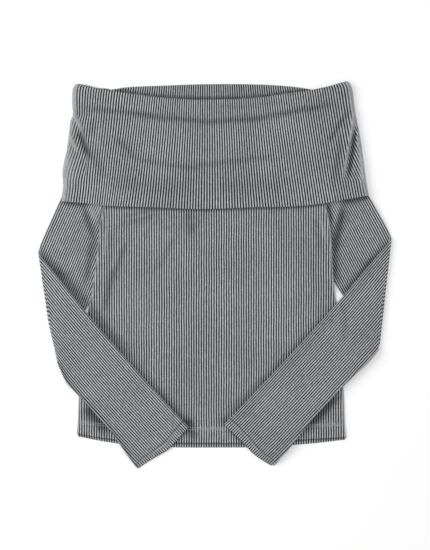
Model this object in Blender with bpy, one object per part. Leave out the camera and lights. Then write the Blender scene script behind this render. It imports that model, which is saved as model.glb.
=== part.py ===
"""Off-shoulder rib-knit top, laid flat: front, back, two folded sleeves and a fold-over collar.

Sizes are in millimetres and turned to metres where a mesh is made. +X is the viewer's right,
+Y runs from the hem to the collar, +Z up from the surface that the top lies on.
"""
import math

import bmesh
import bpy

MM = 0.001

# Cloth
WALL = 1.5
RIB_DEPTH = 0.6
SEAM_GAP = 0.3
LAYER = WALL + SEAM_GAP

# Knit ribs: width of one rib on the body, and ribs counted across collar and sleeve
BODY_RIBS = 108
COLLAR_RIBS = 113
SLEEVE_RIBS = 31
SLEEVE_RIB_PITCH = 3.45

# Body
HEM_HEIGHT = -245.0
COLLAR_SEAM = 235.0
COLLAR_EDGE = 104.0
SEAM_CROWD = 4.0
SETTLE = 20.0

BODY_SIDES = [
    {"y": -245.0, "left": -206.9, "right": 197.2},
    {"y": -226.0, "left": -205.6, "right": 195.3},
    {"y": -184.0, "left": -203.9, "right": 193.9},
    {"y": -121.0, "left": -196.0, "right": 189.4},
    {"y": -57.0, "left": -188.0, "right": 184.4},
    {"y": -29.0, "left": -185.4, "right": 180.0},
    {"y": 14.0, "left": -178.8, "right": 176.7},
    {"y": 46.0, "left": -175.4, "right": 175.4},
    {"y": 76.0, "left": -172.2, "right": 171.9},
    {"y": 104.0, "left": -167.1, "right": 165.6},
    {"y": 118.0, "left": -165.6, "right": 164.4},
    {"y": 235.0, "left": -150.0, "right": 148.0},
]

HEMS = [
    {"x": -207.0, "front": -240.1, "back": -241.8},
    {"x": -162.6, "front": -247.4, "back": -250.4},
    {"x": -112.4, "front": -252.1, "back": -256.6},
    {"x": -38.9, "front": -254.3, "back": -259.2},
    {"x": 38.9, "front": -254.5, "back": -259.0},
    {"x": 129.2, "front": -249.4, "back": -254.2},
    {"x": 198.0, "front": -245.3, "back": -246.6},
]

# Inner edge of each upper sleeve: beside the body near the collar, then tucked under the front
TUCKS = [
    {"y": 118.0, "left": -166.2, "right": 165.0},
    {"y": 104.0, "left": -167.7, "right": 166.2},
    {"y": 90.0, "left": -170.3, "right": 169.6},
    {"y": 76.0, "left": -172.8, "right": 172.5},
    {"y": 62.0, "left": -168.4, "right": 168.0},
    {"y": 46.0, "left": -166.4, "right": 166.4},
    {"y": 14.0, "left": -169.6, "right": 169.2},
    {"y": -2.0, "left": -172.2, "right": 172.8},
    {"y": -14.0, "left": -175.2, "right": 178.6},
    {"y": -33.0, "left": -182.2, "right": 191.9},
    {"y": -44.0, "left": -187.2, "right": 200.4},
    {"y": -55.3, "left": -193.7, "right": 209.0},
    {"y": -108.4, "left": -221.4, "right": 246.2},
    {"y": -142.0, "left": -239.0, "right": 262.0},
]
LIFTS = [
    {"side": "left", "top": 88.0, "bottom": -57.0, "run_in": 12.0},
    {"side": "right", "top": 88.0, "bottom": -30.0, "run_in": 16.0},
]

# Fold-over collar, seen from above
COLLAR_LOW = [
    {"x": -231.6, "y": 109.2},
    {"x": -194.0, "y": 106.1},
    {"x": -161.0, "y": 102.4},
    {"x": -96.0, "y": 100.3},
    {"x": -15.0, "y": 97.7},
    {"x": 54.0, "y": 100.1},
    {"x": 112.0, "y": 101.2},
    {"x": 165.0, "y": 106.4},
    {"x": 203.0, "y": 113.0},
    {"x": 229.7, "y": 117.7},
]
FRONT_FOLD = [
    {"x": -208.0, "y": 286.0},
    {"x": -192.8, "y": 284.3},
    {"x": -173.0, "y": 279.2},
    {"x": -146.9, "y": 274.4},
    {"x": -120.5, "y": 270.5},
    {"x": -82.4, "y": 265.6},
    {"x": -22.4, "y": 262.3},
    {"x": 15.2, "y": 262.5},
    {"x": 61.7, "y": 265.0},
    {"x": 111.2, "y": 271.6},
    {"x": 145.7, "y": 276.5},
    {"x": 170.9, "y": 281.9},
    {"x": 199.0, "y": 290.0},
]
BACK_FOLD = [
    {"x": -208.0, "y": 285.6},
    {"x": -165.0, "y": 279.8},
    {"x": -142.0, "y": 279.6},
    {"x": -115.0, "y": 282.0},
    {"x": -82.4, "y": 283.2},
    {"x": -22.4, "y": 285.2},
    {"x": 34.7, "y": 285.7},
    {"x": 111.2, "y": 282.2},
    {"x": 139.7, "y": 278.4},
    {"x": 170.9, "y": 279.6},
    {"x": 199.0, "y": 289.6},
]
COLLAR_LEFT = [
    {"y": 109.2, "x": -231.6},
    {"y": 132.2, "x": -228.3},
    {"y": 152.6, "x": -228.0},
    {"y": 171.1, "x": -225.6},
    {"y": 187.1, "x": -221.9},
    {"y": 217.1, "x": -218.1},
    {"y": 230.0, "x": -216.4},
    {"y": 241.9, "x": -212.6},
    {"y": 254.0, "x": -213.6},
    {"y": 266.0, "x": -213.9},
    {"y": 279.4, "x": -212.6},
    {"y": 286.0, "x": -209.0},
]
COLLAR_RIGHT = [
    {"y": 117.7, "x": 229.7},
    {"y": 129.5, "x": 230.7},
    {"y": 141.5, "x": 228.8},
    {"y": 163.1, "x": 225.5},
    {"y": 200.6, "x": 220.1},
    {"y": 242.0, "x": 212.1},
    {"y": 256.0, "x": 210.2},
    {"y": 274.9, "x": 208.2},
    {"y": 283.0, "x": 205.6},
    {"y": 290.0, "x": 200.5},
]

# Sleeves: outer corner of the fold, slopes from the vertical in degrees, lengths and widths
SLEEVES = [
    {"side": "left", "x": -264.9, "y": 29.6, "upper": 24.3, "fold": 8.35, "fore": 340.0,
     "fold_width": 93.0, "middle_width": 89.5, "cuff_width": 94.0, "cuff_slant": 0.0,
     "bow": 3.6, "edge_slope": -0.075, "collar_y": 109.6, "round": 8.5},
    {"side": "right", "x": 265.4, "y": 50.6, "upper": 29.5, "fold": 6.35, "fore": 371.0,
     "fold_width": 93.0, "middle_width": 92.0, "cuff_width": 93.0, "cuff_slant": 0.065,
     "bow": 3.6, "edge_slope": -0.175, "collar_y": 117.7, "round": 5.0},
]
BEND_RADIUS = 1.8
BEND_STEPS = 5
DROOP_START = 257.0
DROOP_RUN = 30.0
INNER_COLUMNS = 8

MATERIALS = [
    {"name": "rib_knit_front", "colour": (0.216, 0.219, 0.226), "roughness": 0.9},
    {"name": "rib_knit_back", "colour": (0.205, 0.208, 0.215), "roughness": 0.9},
    {"name": "rib_knit_collar", "colour": (0.202, 0.209, 0.216), "roughness": 0.9},
    {"name": "rib_knit_sleeve_left", "colour": (0.231, 0.242, 0.250), "roughness": 0.9},
    {"name": "rib_knit_sleeve_right", "colour": (0.216, 0.226, 0.235), "roughness": 0.9},
]


def ease(t):
    """Soft step from 0 to 1."""
    t = max(0.0, min(1.0, t))
    return t * t * (3.0 - 2.0 * t)


def mix(a, b, t):
    """Straight blend of two numbers."""
    return a + (b - a) * t


def read(table, key, at, column):
    """Value of a column where the key column reaches a position, by a smooth curve."""
    rows = sorted(table, key=lambda row: row[key])
    if at <= rows[0][key]:
        return rows[0][column]
    if at >= rows[-1][key]:
        return rows[-1][column]
    slopes = []
    for low, high in zip(rows, rows[1:]):
        slopes.append((high[column] - low[column]) / (high[key] - low[key]))
    tangents = [slopes[0]]
    for before, after in zip(slopes, slopes[1:]):
        if before * after <= 0.0:
            tangents.append(0.0)
        else:
            tangents.append(2.0 * before * after / (before + after))
    tangents.append(slopes[-1])
    i = 0
    while rows[i + 1][key] < at:
        i += 1
    span = rows[i + 1][key] - rows[i][key]
    t = (at - rows[i][key]) / span
    start, end = rows[i][column], rows[i + 1][column]
    rise = 3.0 * t * t - 2.0 * t ** 3
    bend_in = t - 2.0 * t * t + t ** 3
    bend_out = t ** 3 - t * t
    return start + (end - start) * rise + span * (tangents[i] * bend_in + tangents[i + 1] * bend_out)


# Solids from rows of points

def solid(name, points, faces, material):
    """A named closed solid, shaded smooth with its sharp edges kept."""
    mesh = bpy.data.meshes.new(name)
    mesh.from_pydata([(x * MM, y * MM, z * MM) for x, y, z in points], [], faces)
    work = bmesh.new()
    work.from_mesh(mesh)
    bmesh.ops.triangulate(work, faces=work.faces)
    bmesh.ops.recalc_face_normals(work, faces=work.faces)
    work.to_mesh(mesh)
    work.free()
    mesh.shade_smooth()
    mesh.set_sharp_from_angle(angle=math.radians(40.0))
    mesh.materials.append(material)
    item = bpy.data.objects.new(name, mesh)
    bpy.context.scene.collection.objects.link(item)
    return item


def zip_rows(a, a_at, b, b_at):
    """Triangles between two rows of point numbers that run side by side."""
    faces = []
    i, j = 0, 0
    while i < len(a) - 1 or j < len(b) - 1:
        if j == len(b) - 1 or (i < len(a) - 1 and a_at[i + 1] <= b_at[j + 1]):
            faces.append((a[i], a[i + 1], b[j]))
            i += 1
        else:
            faces.append((a[i], b[j + 1], b[j]))
            j += 1
    return faces


def number_rings(rings):
    """Number the points of closed rings; each ring is a list of places with a point and its turn."""
    points, rows = [], []
    for ring in rings:
        start = len(points)
        points += [place["point"] for place in ring]
        index = [start + i for i in range(len(ring))] + [start]
        rows.append({"index": index, "at": [place["at"] for place in ring] + [1.0]})
    return points, rows


def shift_rows(rows, start):
    """The same rows, numbered on from a start."""
    return [{"index": [i + start for i in row["index"]], "at": row["at"]} for row in rows]


def join_rows(rows, closed):
    """Faces between neighbouring rings, and from the last back to the first for a closed band."""
    faces = []
    pairs = list(zip(rows, rows[1:]))
    if closed:
        pairs.append((rows[-1], rows[0]))
    for low, high in pairs:
        faces += zip_rows(low["index"], low["at"], high["index"], high["at"])
    return faces


def plate(name, rings, material):
    """A sheet from rings that run along its upper side and back along its underside."""
    points, rows = number_rings(rings)
    faces = join_rows(rows, False)
    for ring, row in ((rings[0], rows[0]), (rings[-1], rows[-1])):
        upper = [i for i, place in enumerate(ring) if place["at"] < 0.5]
        lower = [i for i, place in enumerate(ring) if place["at"] >= 0.5]
        lower.reverse()
        top_at = [ring[i]["at"] for i in upper]
        low_at = [0.999 - ring[i]["at"] for i in lower]
        top = [row["index"][i] for i in upper]
        low = [row["index"][i] for i in lower]
        faces += zip_rows(top, top_at, low, low_at)
    return solid(name, points, faces, material)


def band(name, rings, material):
    """A sheet that closes on itself all round, folded over along its upper edge."""
    points, rows = number_rings(rings)
    return solid(name, points, join_rows(rows, True), material)


def tube(name, outer, inner, material):
    """A flattened tube of cloth: outer rings, inner rings, and the cloth's edge at each end."""
    points, rows = number_rings(outer)
    more, others = number_rings(inner)
    others = shift_rows(others, len(points))
    faces = join_rows(rows, False) + join_rows(others, False)
    for here, there in ((rows[0], others[0]), (rows[-1], others[-1])):
        faces += zip_rows(here["index"], here["at"], there["index"], there["at"])
    return solid(name, points + more, faces, material)


# Body panels

def collar_shift(x):
    """How far the collar's free edge lies above or below its mean height."""
    return read(COLLAR_LOW, "x", x, "y") - COLLAR_EDGE


def body_height(level, x, hem):
    """Height of a point on a row of the body, rows following the hem and the collar's edge."""
    shift = 0.0
    if level < -170.0:
        shift = (read(HEMS, "x", x, hem) - HEM_HEIGHT) * (-170.0 - level) / (-170.0 - HEM_HEIGHT)
    elif level > 40.0 and level < 150.0:
        shift = collar_shift(x) * min(1.0, (level - 40.0) / 36.0, (150.0 - level) / 32.0)
    return level + shift


def settle(level):
    """Height that the layers of the collar's back flap add, gone a little below its edge."""
    return LAYER * ease((level - COLLAR_EDGE + SETTLE + 2.0) / SETTLE)


def lift(x, y):
    """Height that the front takes over each tucked sleeve edge."""
    height = 0.0
    for row in LIFTS:
        edge = read(TUCKS, "y", y, row["side"])
        inward = x - edge if row["side"] == "left" else edge - x
        across = ease((12.0 - inward) / 11.0)
        along = ease((row["top"] - y) / 12.0) * ease((y - row["bottom"]) / row["run_in"])
        height = max(height, LAYER * across * along)
    return height


def crowd(raw, left, right, raw_left, raw_right):
    """Place of a rib that stands upright and is cut off by the side seams: crowded at the edge."""
    low, high = left + SEAM_CROWD, right - SEAM_CROWD
    if raw < low:
        share = (low - left) / (low - raw_left)
        return left + (raw - raw_left) * share, share
    if raw > high:
        share = (right - high) / (raw_right - high)
        return right - (raw_right - raw) * share, share
    return raw, 1.0


def body_x(raw, level, inset):
    """Distance from the centre of a rib line at one height, and how much the rib is crowded."""
    left = read(BODY_SIDES, "y", level, "left")
    right = read(BODY_SIDES, "y", level, "right")
    if inset:
        left = max(left, read(TUCKS, "y", level, "left") + 0.5)
        right = min(right, read(TUCKS, "y", level, "right") - 0.5)
    first, last = BODY_SIDES[0]["left"], BODY_SIDES[0]["right"]
    return crowd(raw, left, right, first, last)


FRONT_ROWS = [-245, -208, -170, -121, -85, -57, -46, -38, -29, -20, -12, 0, 14, 46,
              66, 76, 82, 87, 92, 97, 103, 108, 118, 150, 234.7]
BACK_ROWS = [-245, -208, -170, -121, -57, -44, -29, -12, 14, 46, 62, 76,
             82, 87, 92, 97, 103, 108, 118, 150, 234.7]
RIBBED_TO = 108.0


def rib(column, amount):
    """Depth of the groove at a column: every second column is a groove."""
    return RIB_DEPTH * amount * (column % 2)


def plain_columns(count):
    """Columns that a plain side keeps: closer together near the side seams."""
    near = [c for c in range(0, count + 1, 3) if c <= 33 or c >= count - 33]
    wide = [c for c in range(0, count + 1, 12)]
    return sorted(set(near + wide))


def body_ring(level, count, ribbed, hem, inset, height):
    """One row of a body panel: its upper side from left to right, then its underside back."""
    first, last = BODY_SIDES[0]["left"], BODY_SIDES[0]["right"]
    plain = plain_columns(count)
    ring = []
    for c in (range(count + 1) if ribbed else plain):
        x, share = body_x(mix(first, last, c / count), level, inset)
        y = body_height(level, x, hem)
        depth = rib(c, ease((share - 0.4) / 0.6)) if ribbed else 0.0
        ring.append({"at": 0.499 * c / count, "point": (x, y, height(level, x, y) + WALL - depth)})
    for c in reversed(plain):
        x, share = body_x(mix(first, last, c / count), level, inset)
        y = body_height(level, x, hem)
        ring.append({"at": 0.999 - 0.499 * c / count, "point": (x, y, height(level, x, y))})
    return ring


def front_base(level, x, y):
    return LAYER + settle(level) + lift(x, y)


def back_base(level, x, y):
    return settle(level)


def make_front(material):
    rings = []
    for level in FRONT_ROWS:
        ribbed = level <= RIBBED_TO
        rings.append(body_ring(level, 2 * BODY_RIBS, ribbed, "front", False, front_base))
    return plate("front", rings, material)


def make_back(material):
    rings = []
    for level in BACK_ROWS:
        rings.append(body_ring(level, 2 * BODY_RIBS, False, "back", True, back_base))
    return plate("back", rings, material)


# Collar: one band, folded over all round

COLLAR_MID = 3.45
FLAP_OUT = 3.45
FLAP_IN = 1.95
STAND_OUT = 1.65
STAND_IN = 0.15


def patch(u, v, low_rise, fold):
    """Point of the collar's flat shape: u from left to right, v from the free edge to the fold."""
    left_low = COLLAR_LEFT[0]["y"] + low_rise
    right_low = COLLAR_RIGHT[0]["y"] + low_rise
    left_y = mix(left_low, COLLAR_LEFT[-1]["y"], v)
    right_y = mix(right_low, COLLAR_RIGHT[-1]["y"], v)
    left = (read(COLLAR_LEFT, "y", left_y, "x") + FLAP_OUT, left_y)
    right = (read(COLLAR_RIGHT, "y", right_y, "x") - FLAP_OUT, right_y)
    corners = []
    for row in (0, -1):
        side = mix(COLLAR_LEFT[row]["x"] + FLAP_OUT, COLLAR_RIGHT[row]["x"] - FLAP_OUT, u)
        if row == 0:
            corners.append((side, read(COLLAR_LOW, "x", side, "y") + low_rise))
        else:
            corners.append((side, read(fold, "x", side, "y")))
    low, high = corners
    flat_low = (low[0], mix(left_low, right_low, u))
    flat_high = (high[0], mix(COLLAR_LEFT[-1]["y"], COLLAR_RIGHT[-1]["y"], u))
    x = mix(left[0], right[0], u)
    y = mix(left[1], right[1], u) + mix(low[1] - flat_low[1], high[1] - flat_high[1], v)
    return x, y


def collar_stations(front_fine, back_fine):
    """Places round the band: front, right turn, back, left turn; fine where ribs show."""
    count = 2 * COLLAR_RIBS
    front = range(count + 1) if front_fine else plain_columns(count)
    back = range(count + 1) if back_fine else plain_columns(count)
    stations = []
    for c in front:
        stations.append({"part": "front", "u": c / count, "turn": 0.0, "column": c,
                         "at": 0.47 * c / count})
    for angle in (45.0, 90.0, 135.0):
        stations.append({"part": "turn", "u": 1.0, "turn": angle, "column": 0,
                         "at": 0.47 + 0.03 * angle / 180.0})
    for c in back:
        stations.append({"part": "back", "u": 1.0 - c / count, "turn": 180.0, "column": c,
                         "at": 0.5 + 0.47 * c / count})
    for angle in (135.0, 90.0, 45.0):
        stations.append({"part": "turn", "u": 0.0, "turn": angle, "column": 0,
                         "at": 0.97 + 0.03 * (180.0 - angle) / 180.0})
    return stations


def collar_profile():
    """Rows from the free edge over the fold to the inner seam and back inside the fold."""
    rows = []
    for v in (0.0, 0.35, 0.7, 1.0):
        rows.append({"v": v, "out": FLAP_OUT, "kind": "flap", "fine": (True, False)})
    for angle, fine in ((45.0, (True, False)), (90.0, (True, True)), (135.0, (False, True))):
        turn = math.radians(angle)
        rows.append({"v": 1.0, "rise": math.sin(turn), "out": math.cos(turn), "kind": "fold",
                     "fine": fine})
    rows.append({"v": 1.0, "out": STAND_IN, "kind": "neck", "fine": (False, True)})
    rows.append({"drop": 0.55, "out": STAND_IN, "kind": "neck", "fine": (False, True)})
    rows.append({"drop": 0.65, "out": STAND_IN, "kind": "plain", "fine": (False, False)})
    rows.append({"drop": 1.0, "out": STAND_IN, "kind": "plain", "fine": (False, False)})
    rows.append({"drop": 1.0, "out": STAND_OUT, "kind": "plain", "fine": (False, False)})
    rows.append({"v": 1.0, "out": STAND_OUT, "kind": "plain", "fine": (False, False)})
    for v in (1.0, 0.7, 0.35, 0.0):
        rows.append({"v": v, "out": FLAP_IN, "kind": "plain", "fine": (False, False)})
    return rows


def collar_flat(row, u, face):
    """Flat position of a profile row on the front or on the back."""
    fold = FRONT_FOLD if face == "front" else BACK_FOLD
    rise = 0.0 if face == "front" else 2.0
    top = patch(u, 1.0, rise, fold)
    top = (top[0], top[1] - STAND_OUT)
    if "drop" in row:
        y = mix(top[1], COLLAR_SEAM, row["drop"])
        share = (y - 113.0) / (288.0 - 113.0)
        return mix(top[0], patch(u, share, rise, fold)[0], row["drop"]), y
    if row["v"] == 1.0:
        return top
    return patch(u, row["v"], rise, fold)


def collar_point(row, station):
    """Place of one point of the collar's band."""
    kind = row["kind"]
    ribs = {"front": ("flap", "fold"), "back": ("neck", "fold"), "turn": ()}
    fine = row["fine"][0] if station["part"] == "front" else row["fine"][1]
    depth = rib(station["column"], 1.0) if fine and kind in ribs[station["part"]] else 0.0
    near = collar_flat(row, station["u"], "front")
    far = collar_flat(row, station["u"], "back")
    turn = math.radians(station["turn"])
    share = (1.0 - math.cos(turn)) / 2.0
    x, y = mix(near[0], far[0], share), mix(near[1], far[1], share)
    out = row["out"]
    if kind == "fold":
        radius = STAND_OUT - depth
        out = LAYER + radius * row["out"]
        y += radius * row["rise"]
    elif kind == "flap":
        out -= depth
    elif kind == "neck":
        out += depth
    side = 1.0 if station["u"] > 0.5 else -1.0
    x += side * out * math.sin(turn)
    return x, y, COLLAR_MID + out * math.cos(turn)


def make_collar(material):
    rings = []
    for row in collar_profile():
        ring = []
        for station in collar_stations(*row["fine"]):
            ring.append({"at": station["at"], "point": collar_point(row, station)})
        rings.append(ring)
    return band("collar", rings, material)


# Sleeves: a flat tapered tube, folded over along one line

def axes(sleeve):
    """Directions in the sleeve's own frame, where it lies on the left: up, across, fold, out."""
    upper, fold = math.radians(sleeve["upper"]), math.radians(sleeve["fold"])
    return {
        "up": (math.sin(upper), math.cos(upper)),
        "across": (math.cos(upper), -math.sin(upper)),
        "fold": (math.sin(fold), -math.cos(fold)),
        "out": (-math.cos(fold), -math.sin(fold)),
    }


def flat_point(sleeve, frame, along, width):
    """Point of the flat sleeve in its own frame: along from the fold corner, width from outside."""
    corner = (-abs(sleeve["x"]), sleeve["y"])
    x = corner[0] + frame["up"][0] * along + frame["across"][0] * width
    y = corner[1] + frame["up"][1] * along + frame["across"][1] * width
    return x, y


def tuck_width(sleeve, frame, along, slant):
    """Width at which a ring of the upper sleeve reaches the sleeve's inner edge."""
    low, high = 20.0, 160.0
    for step in range(50):
        width = (low + high) / 2.0
        x, y = flat_point(sleeve, frame, along - slant * width, width)
        edge = -abs(read(TUCKS, "y", y, sleeve["side"]))
        if x > edge:
            high = width
        else:
            low = width
    return low


def fold_over(sleeve, frame, x, y, height):
    """Bend the flat sleeve round its fold line: height is measured from the tube's middle."""
    reach = STAND_OUT + BEND_RADIUS
    corner = (-abs(sleeve["x"]), sleeve["y"])
    axis = (corner[0] - frame["out"][0] * reach, corner[1] - frame["out"][1] * reach)
    dx, dy = x - axis[0], y - axis[1]
    past = dx * frame["out"][0] + dy * frame["out"][1]
    slide = dx * frame["fold"][0] + dy * frame["fold"][1]
    arc = math.pi * BEND_RADIUS
    level = STAND_OUT
    if past <= 0.0:
        return x, y, level + height
    if past < arc:
        turn = past / BEND_RADIUS
        away = (BEND_RADIUS - height) * math.sin(turn)
        z = level + BEND_RADIUS - (BEND_RADIUS - height) * math.cos(turn)
    else:
        away = arc - past
        z = level + 2.0 * BEND_RADIUS - height
    x = axis[0] + frame["fold"][0] * slide + frame["out"][0] * away
    y = axis[1] + frame["fold"][1] * slide + frame["out"][1] * away
    return x, y, z


def sleeve_rings(sleeve, frame):
    """Rings from the top of the sleeve to its cuff: place, slant, width and added heights."""
    fold_angle = math.radians(sleeve["upper"] + sleeve["fold"])
    fold_slant = 1.0 / math.tan(fold_angle)
    edge = math.atan(sleeve["edge_slope"])
    along_edge = math.cos(edge) * frame["up"][0] + math.sin(edge) * frame["up"][1]
    across_edge = math.cos(edge) * frame["across"][0] + math.sin(edge) * frame["across"][1]
    edge_slant = -along_edge / across_edge
    rings = []
    for below in (-6.0, -1.0, 4.0, 9.0, 14.0, 20.0, 28.0):
        along = (sleeve["collar_y"] - below - sleeve["y"]) / frame["up"][1]
        raised = LAYER * ease((SETTLE + 2.0 - below) / SETTLE) if below < 22.0 else 0.0
        shown = 1.0 if below > -2.0 else 0.0
        rings.append({"along": along, "slant": edge_slant, "raised": raised, "front": shown,
                      "back": 0.0, "zone": "upper"})
    start = (sleeve["collar_y"] - 28.0 - sleeve["y"]) / frame["up"][1]
    end = (STAND_OUT + BEND_RADIUS) / math.sin(fold_angle)
    for t in (0.14, 0.28, 0.42, 0.56, 0.7, 0.85):
        rings.append({"along": mix(start, end, t), "slant": mix(edge_slant, fold_slant, t),
                      "raised": 0.0, "front": 1.0, "back": 0.0, "zone": "upper"})
    arc = math.pi * BEND_RADIUS / math.sin(fold_angle)
    for step in range(BEND_STEPS + 1):
        t = step / BEND_STEPS
        rings.append({"along": end - arc * t, "slant": fold_slant, "raised": 0.0,
                      "front": 1.0 if step == 0 else 0.0, "back": 1.0 if t > 0.35 else 0.0,
                      "zone": "fold"})
    cuff = sleeve["cuff_slant"]
    for t in (0.1, 0.25, 0.42, 0.6, 0.74, 0.81, 0.87, 0.92, 0.96, 1.0):
        rings.append({"along": mix(end - arc, -sleeve["fore"], t), "slant": mix(fold_slant, cuff, t),
                      "raised": 0.0, "front": 0.0, "back": 1.0, "zone": "fore", "t": t})
    for ring in rings:
        if ring["zone"] == "upper":
            ring["width"] = tuck_width(sleeve, frame, ring["along"], ring["slant"])
        else:
            t = ring.get("t", 0.0)
            middle = ease(t / 0.4) if t < 0.5 else ease((1.0 - t) / 0.45)
            plain = mix(sleeve["fold_width"], sleeve["cuff_width"], t)
            width = mix(plain, sleeve["middle_width"], middle)
            ring["width"] = width - sleeve["round"] * (1.0 - ease(t / 0.12))
        if ring["zone"] == "upper" and ring["along"] < start:
            near = 1.0 - (ring["along"] - end) / (start - end)
            ring["width"] -= sleeve["round"] * ease((near - 0.75) / 0.25)
    return rings


def bow_point(sleeve, frame, x, y):
    """Shift of the forearm's middle towards the hem side, as a shallow bow."""
    slope = math.radians(sleeve["upper"] + 2.0 * sleeve["fold"])
    run = (math.sin(slope), -math.cos(slope))
    dx, dy = x + abs(sleeve["x"]), y - sleeve["y"]
    t = max(0.0, min(1.0, (dx * run[0] + dy * run[1]) / sleeve["fore"]))
    shift = sleeve["bow"] * 4.0 * t * (1.0 - t) * ease(t / 0.3)
    return x + run[1] * shift, y - run[0] * shift


def sleeve_place(sleeve, frame, ring, width, height):
    """Final place of one point of the sleeve."""
    x, y = flat_point(sleeve, frame, ring["along"] - ring["slant"] * width, width)
    x, y, z = fold_over(sleeve, frame, x, y, height)
    if ring["zone"] == "fore":
        x, y = bow_point(sleeve, frame, x, y)
        z -= 2.0 * LAYER * ease((-y - DROOP_START) / DROOP_RUN)
    z += ring["raised"]
    return (x if sleeve["side"] == "left" else -x), y, z


def ring_columns(front_fine, back_fine):
    """Places round the flattened tube: front ply, inner turn, back ply, outer turn."""
    count = 2 * SLEEVE_RIBS
    few = sorted({round(count * i / INNER_COLUMNS) for i in range(INNER_COLUMNS + 1)})
    places = []
    for c in (range(count + 1) if front_fine else few):
        places.append({"ply": "front", "s": c / count, "turn": 90.0, "column": c,
                       "at": 0.45 * c / count})
    for angle in (45.0, 0.0, -45.0):
        places.append({"ply": "inner", "s": 1.0, "turn": angle, "column": 0,
                       "at": 0.475 - 0.025 * angle / 90.0})
    for c in (range(count + 1) if back_fine else few):
        places.append({"ply": "back", "s": 1.0 - c / count, "turn": -90.0, "column": c,
                       "at": 0.5 + 0.45 * c / count})
    for angle in (-45.0, 0.0, 45.0):
        places.append({"ply": "outer", "s": 0.0, "turn": angle, "column": 0,
                       "at": 0.975 + 0.025 * angle / 90.0})
    return places


def ring_point(sleeve, frame, ring, place, ribbed):
    """One point of an outer ring, where ribs stand upright and crowd at the inner edge."""
    radius = STAND_OUT if ribbed else STAND_IN
    full = SLEEVE_RIBS * SLEEVE_RIB_PITCH
    inner_edge = ring["width"] - STAND_OUT
    raw = mix(STAND_OUT, full, place["s"])
    limit = inner_edge - SEAM_CROWD
    share = 1.0
    if raw > limit:
        share = SEAM_CROWD / (full - limit)
        width = inner_edge - (full - raw) * share
    else:
        width = raw
    depth = 0.0
    if ribbed and place["ply"] in ("front", "back"):
        depth = rib(place["column"], ring[place["ply"]] * ease((share - 0.35) / 0.6))
    turn = math.radians(place["turn"])
    side = 1.0 if place["ply"] == "inner" else -1.0
    if place["ply"] in ("inner", "outer"):
        width += side * radius * math.cos(turn)
    return sleeve_place(sleeve, frame, ring, width, (radius - depth) * math.sin(turn))


def top_ring(sleeve, places, ribbed):
    """The sleeve's open top: along the collar seam, then down the seam to the body."""
    radius = STAND_OUT if ribbed else STAND_IN
    body = BODY_SIDES[-1][sleeve["side"]]
    outside = -abs(read(COLLAR_LEFT if sleeve["side"] == "left" else COLLAR_RIGHT,
                        "y", COLLAR_SEAM, "x")) + 3.0 + STAND_OUT
    seam = COLLAR_SEAM - SEAM_GAP
    under = -abs(read(TUCKS, "y", 118.0, sleeve["side"])) - STAND_OUT
    points = []
    for place in places:
        s = place["s"]
        corner = (-abs(body) - 0.6 - STAND_OUT, seam)
        if s < 0.5:
            x, y = mix(outside, corner[0], s * 2.0), seam
        else:
            y = mix(seam, 127.0, s * 2.0 - 1.0)
            x = mix(corner[0], under, (seam - y) / (seam - 118.0))
        turn = math.radians(place["turn"])
        if place["ply"] == "outer":
            x -= radius * math.cos(turn)
        if place["ply"] == "inner":
            x += radius * math.cos(turn)
        z = STAND_OUT + LAYER + radius * math.sin(turn)
        point = (x if sleeve["side"] == "left" else -x, y, z)
        points.append({"at": place["at"], "point": point})
    return points


def make_sleeve(sleeve, material):
    frame = axes(sleeve)
    plain = ring_columns(False, False)
    outer = [top_ring(sleeve, plain, True)]
    inner = [top_ring(sleeve, plain, False)]
    for ring in sleeve_rings(sleeve, frame):
        fine = ring_columns(ring["front"] > 0.0, ring["back"] > 0.0)
        for rings, places, ribbed in ((outer, fine, True), (inner, plain, False)):
            points = [ring_point(sleeve, frame, ring, place, ribbed) for place in places]
            rings.append([{"at": p["at"], "point": q} for p, q in zip(places, points)])
    return tube("sleeve_" + sleeve["side"], outer, inner, material)


def make_material(row):
    material = bpy.data.materials.new(row["name"])
    material.use_nodes = True
    shader = material.node_tree.nodes["Principled BSDF"]
    shader.inputs["Base Color"].default_value = (*row["colour"], 1.0)
    shader.inputs["Roughness"].default_value = row["roughness"]
    return material


def centre(items):
    """Move the whole top so that its outline is centred and its underside lies at zero."""
    xs = [v.co.x for item in items for v in item.data.vertices]
    ys = [v.co.y for item in items for v in item.data.vertices]
    zs = [v.co.z for item in items for v in item.data.vertices]
    shift = ((min(xs) + max(xs)) / 2.0, (min(ys) + max(ys)) / 2.0, min(zs))
    for item in items:
        for v in item.data.vertices:
            v.co.x -= shift[0]
            v.co.y -= shift[1]
            v.co.z -= shift[2]


def main():
    for item in list(bpy.data.objects):
        bpy.data.objects.remove(item, do_unlink=True)
    looks = [make_material(row) for row in MATERIALS]
    items = [
        make_front(looks[0]),
        make_back(looks[1]),
        make_collar(looks[2]),
        make_sleeve(SLEEVES[0], looks[3]),
        make_sleeve(SLEEVES[1], looks[4]),
    ]
    centre(items)


main()
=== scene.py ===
# %% [markdown]
# # An off-shoulder top in fine rib knit, laid flat
#
# The real top is cut and sewn from five pieces of grey melange rib knit: a front, a back, two long
# sleeves and one deep collar that is folded over outwards. It lies on a table with its sleeves
# folded at the upper arm, so that both forearms cross the front.
#
# Knit is soft, so each piece is made here as a thin shell of real thickness, row by row, from a few
# measured lengths. The ribs are real geometry, because light catches their rounded ridges and gets
# lost in the grooves between them, and a flat surface with painted stripes never does that. The
# material adds painted shade in the grooves as well, and painted light and shade along creases and
# edges.

# %% Load the frame
import math

import bmesh
import bpy
import numpy as np
from mathutils import Matrix, Vector


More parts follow.
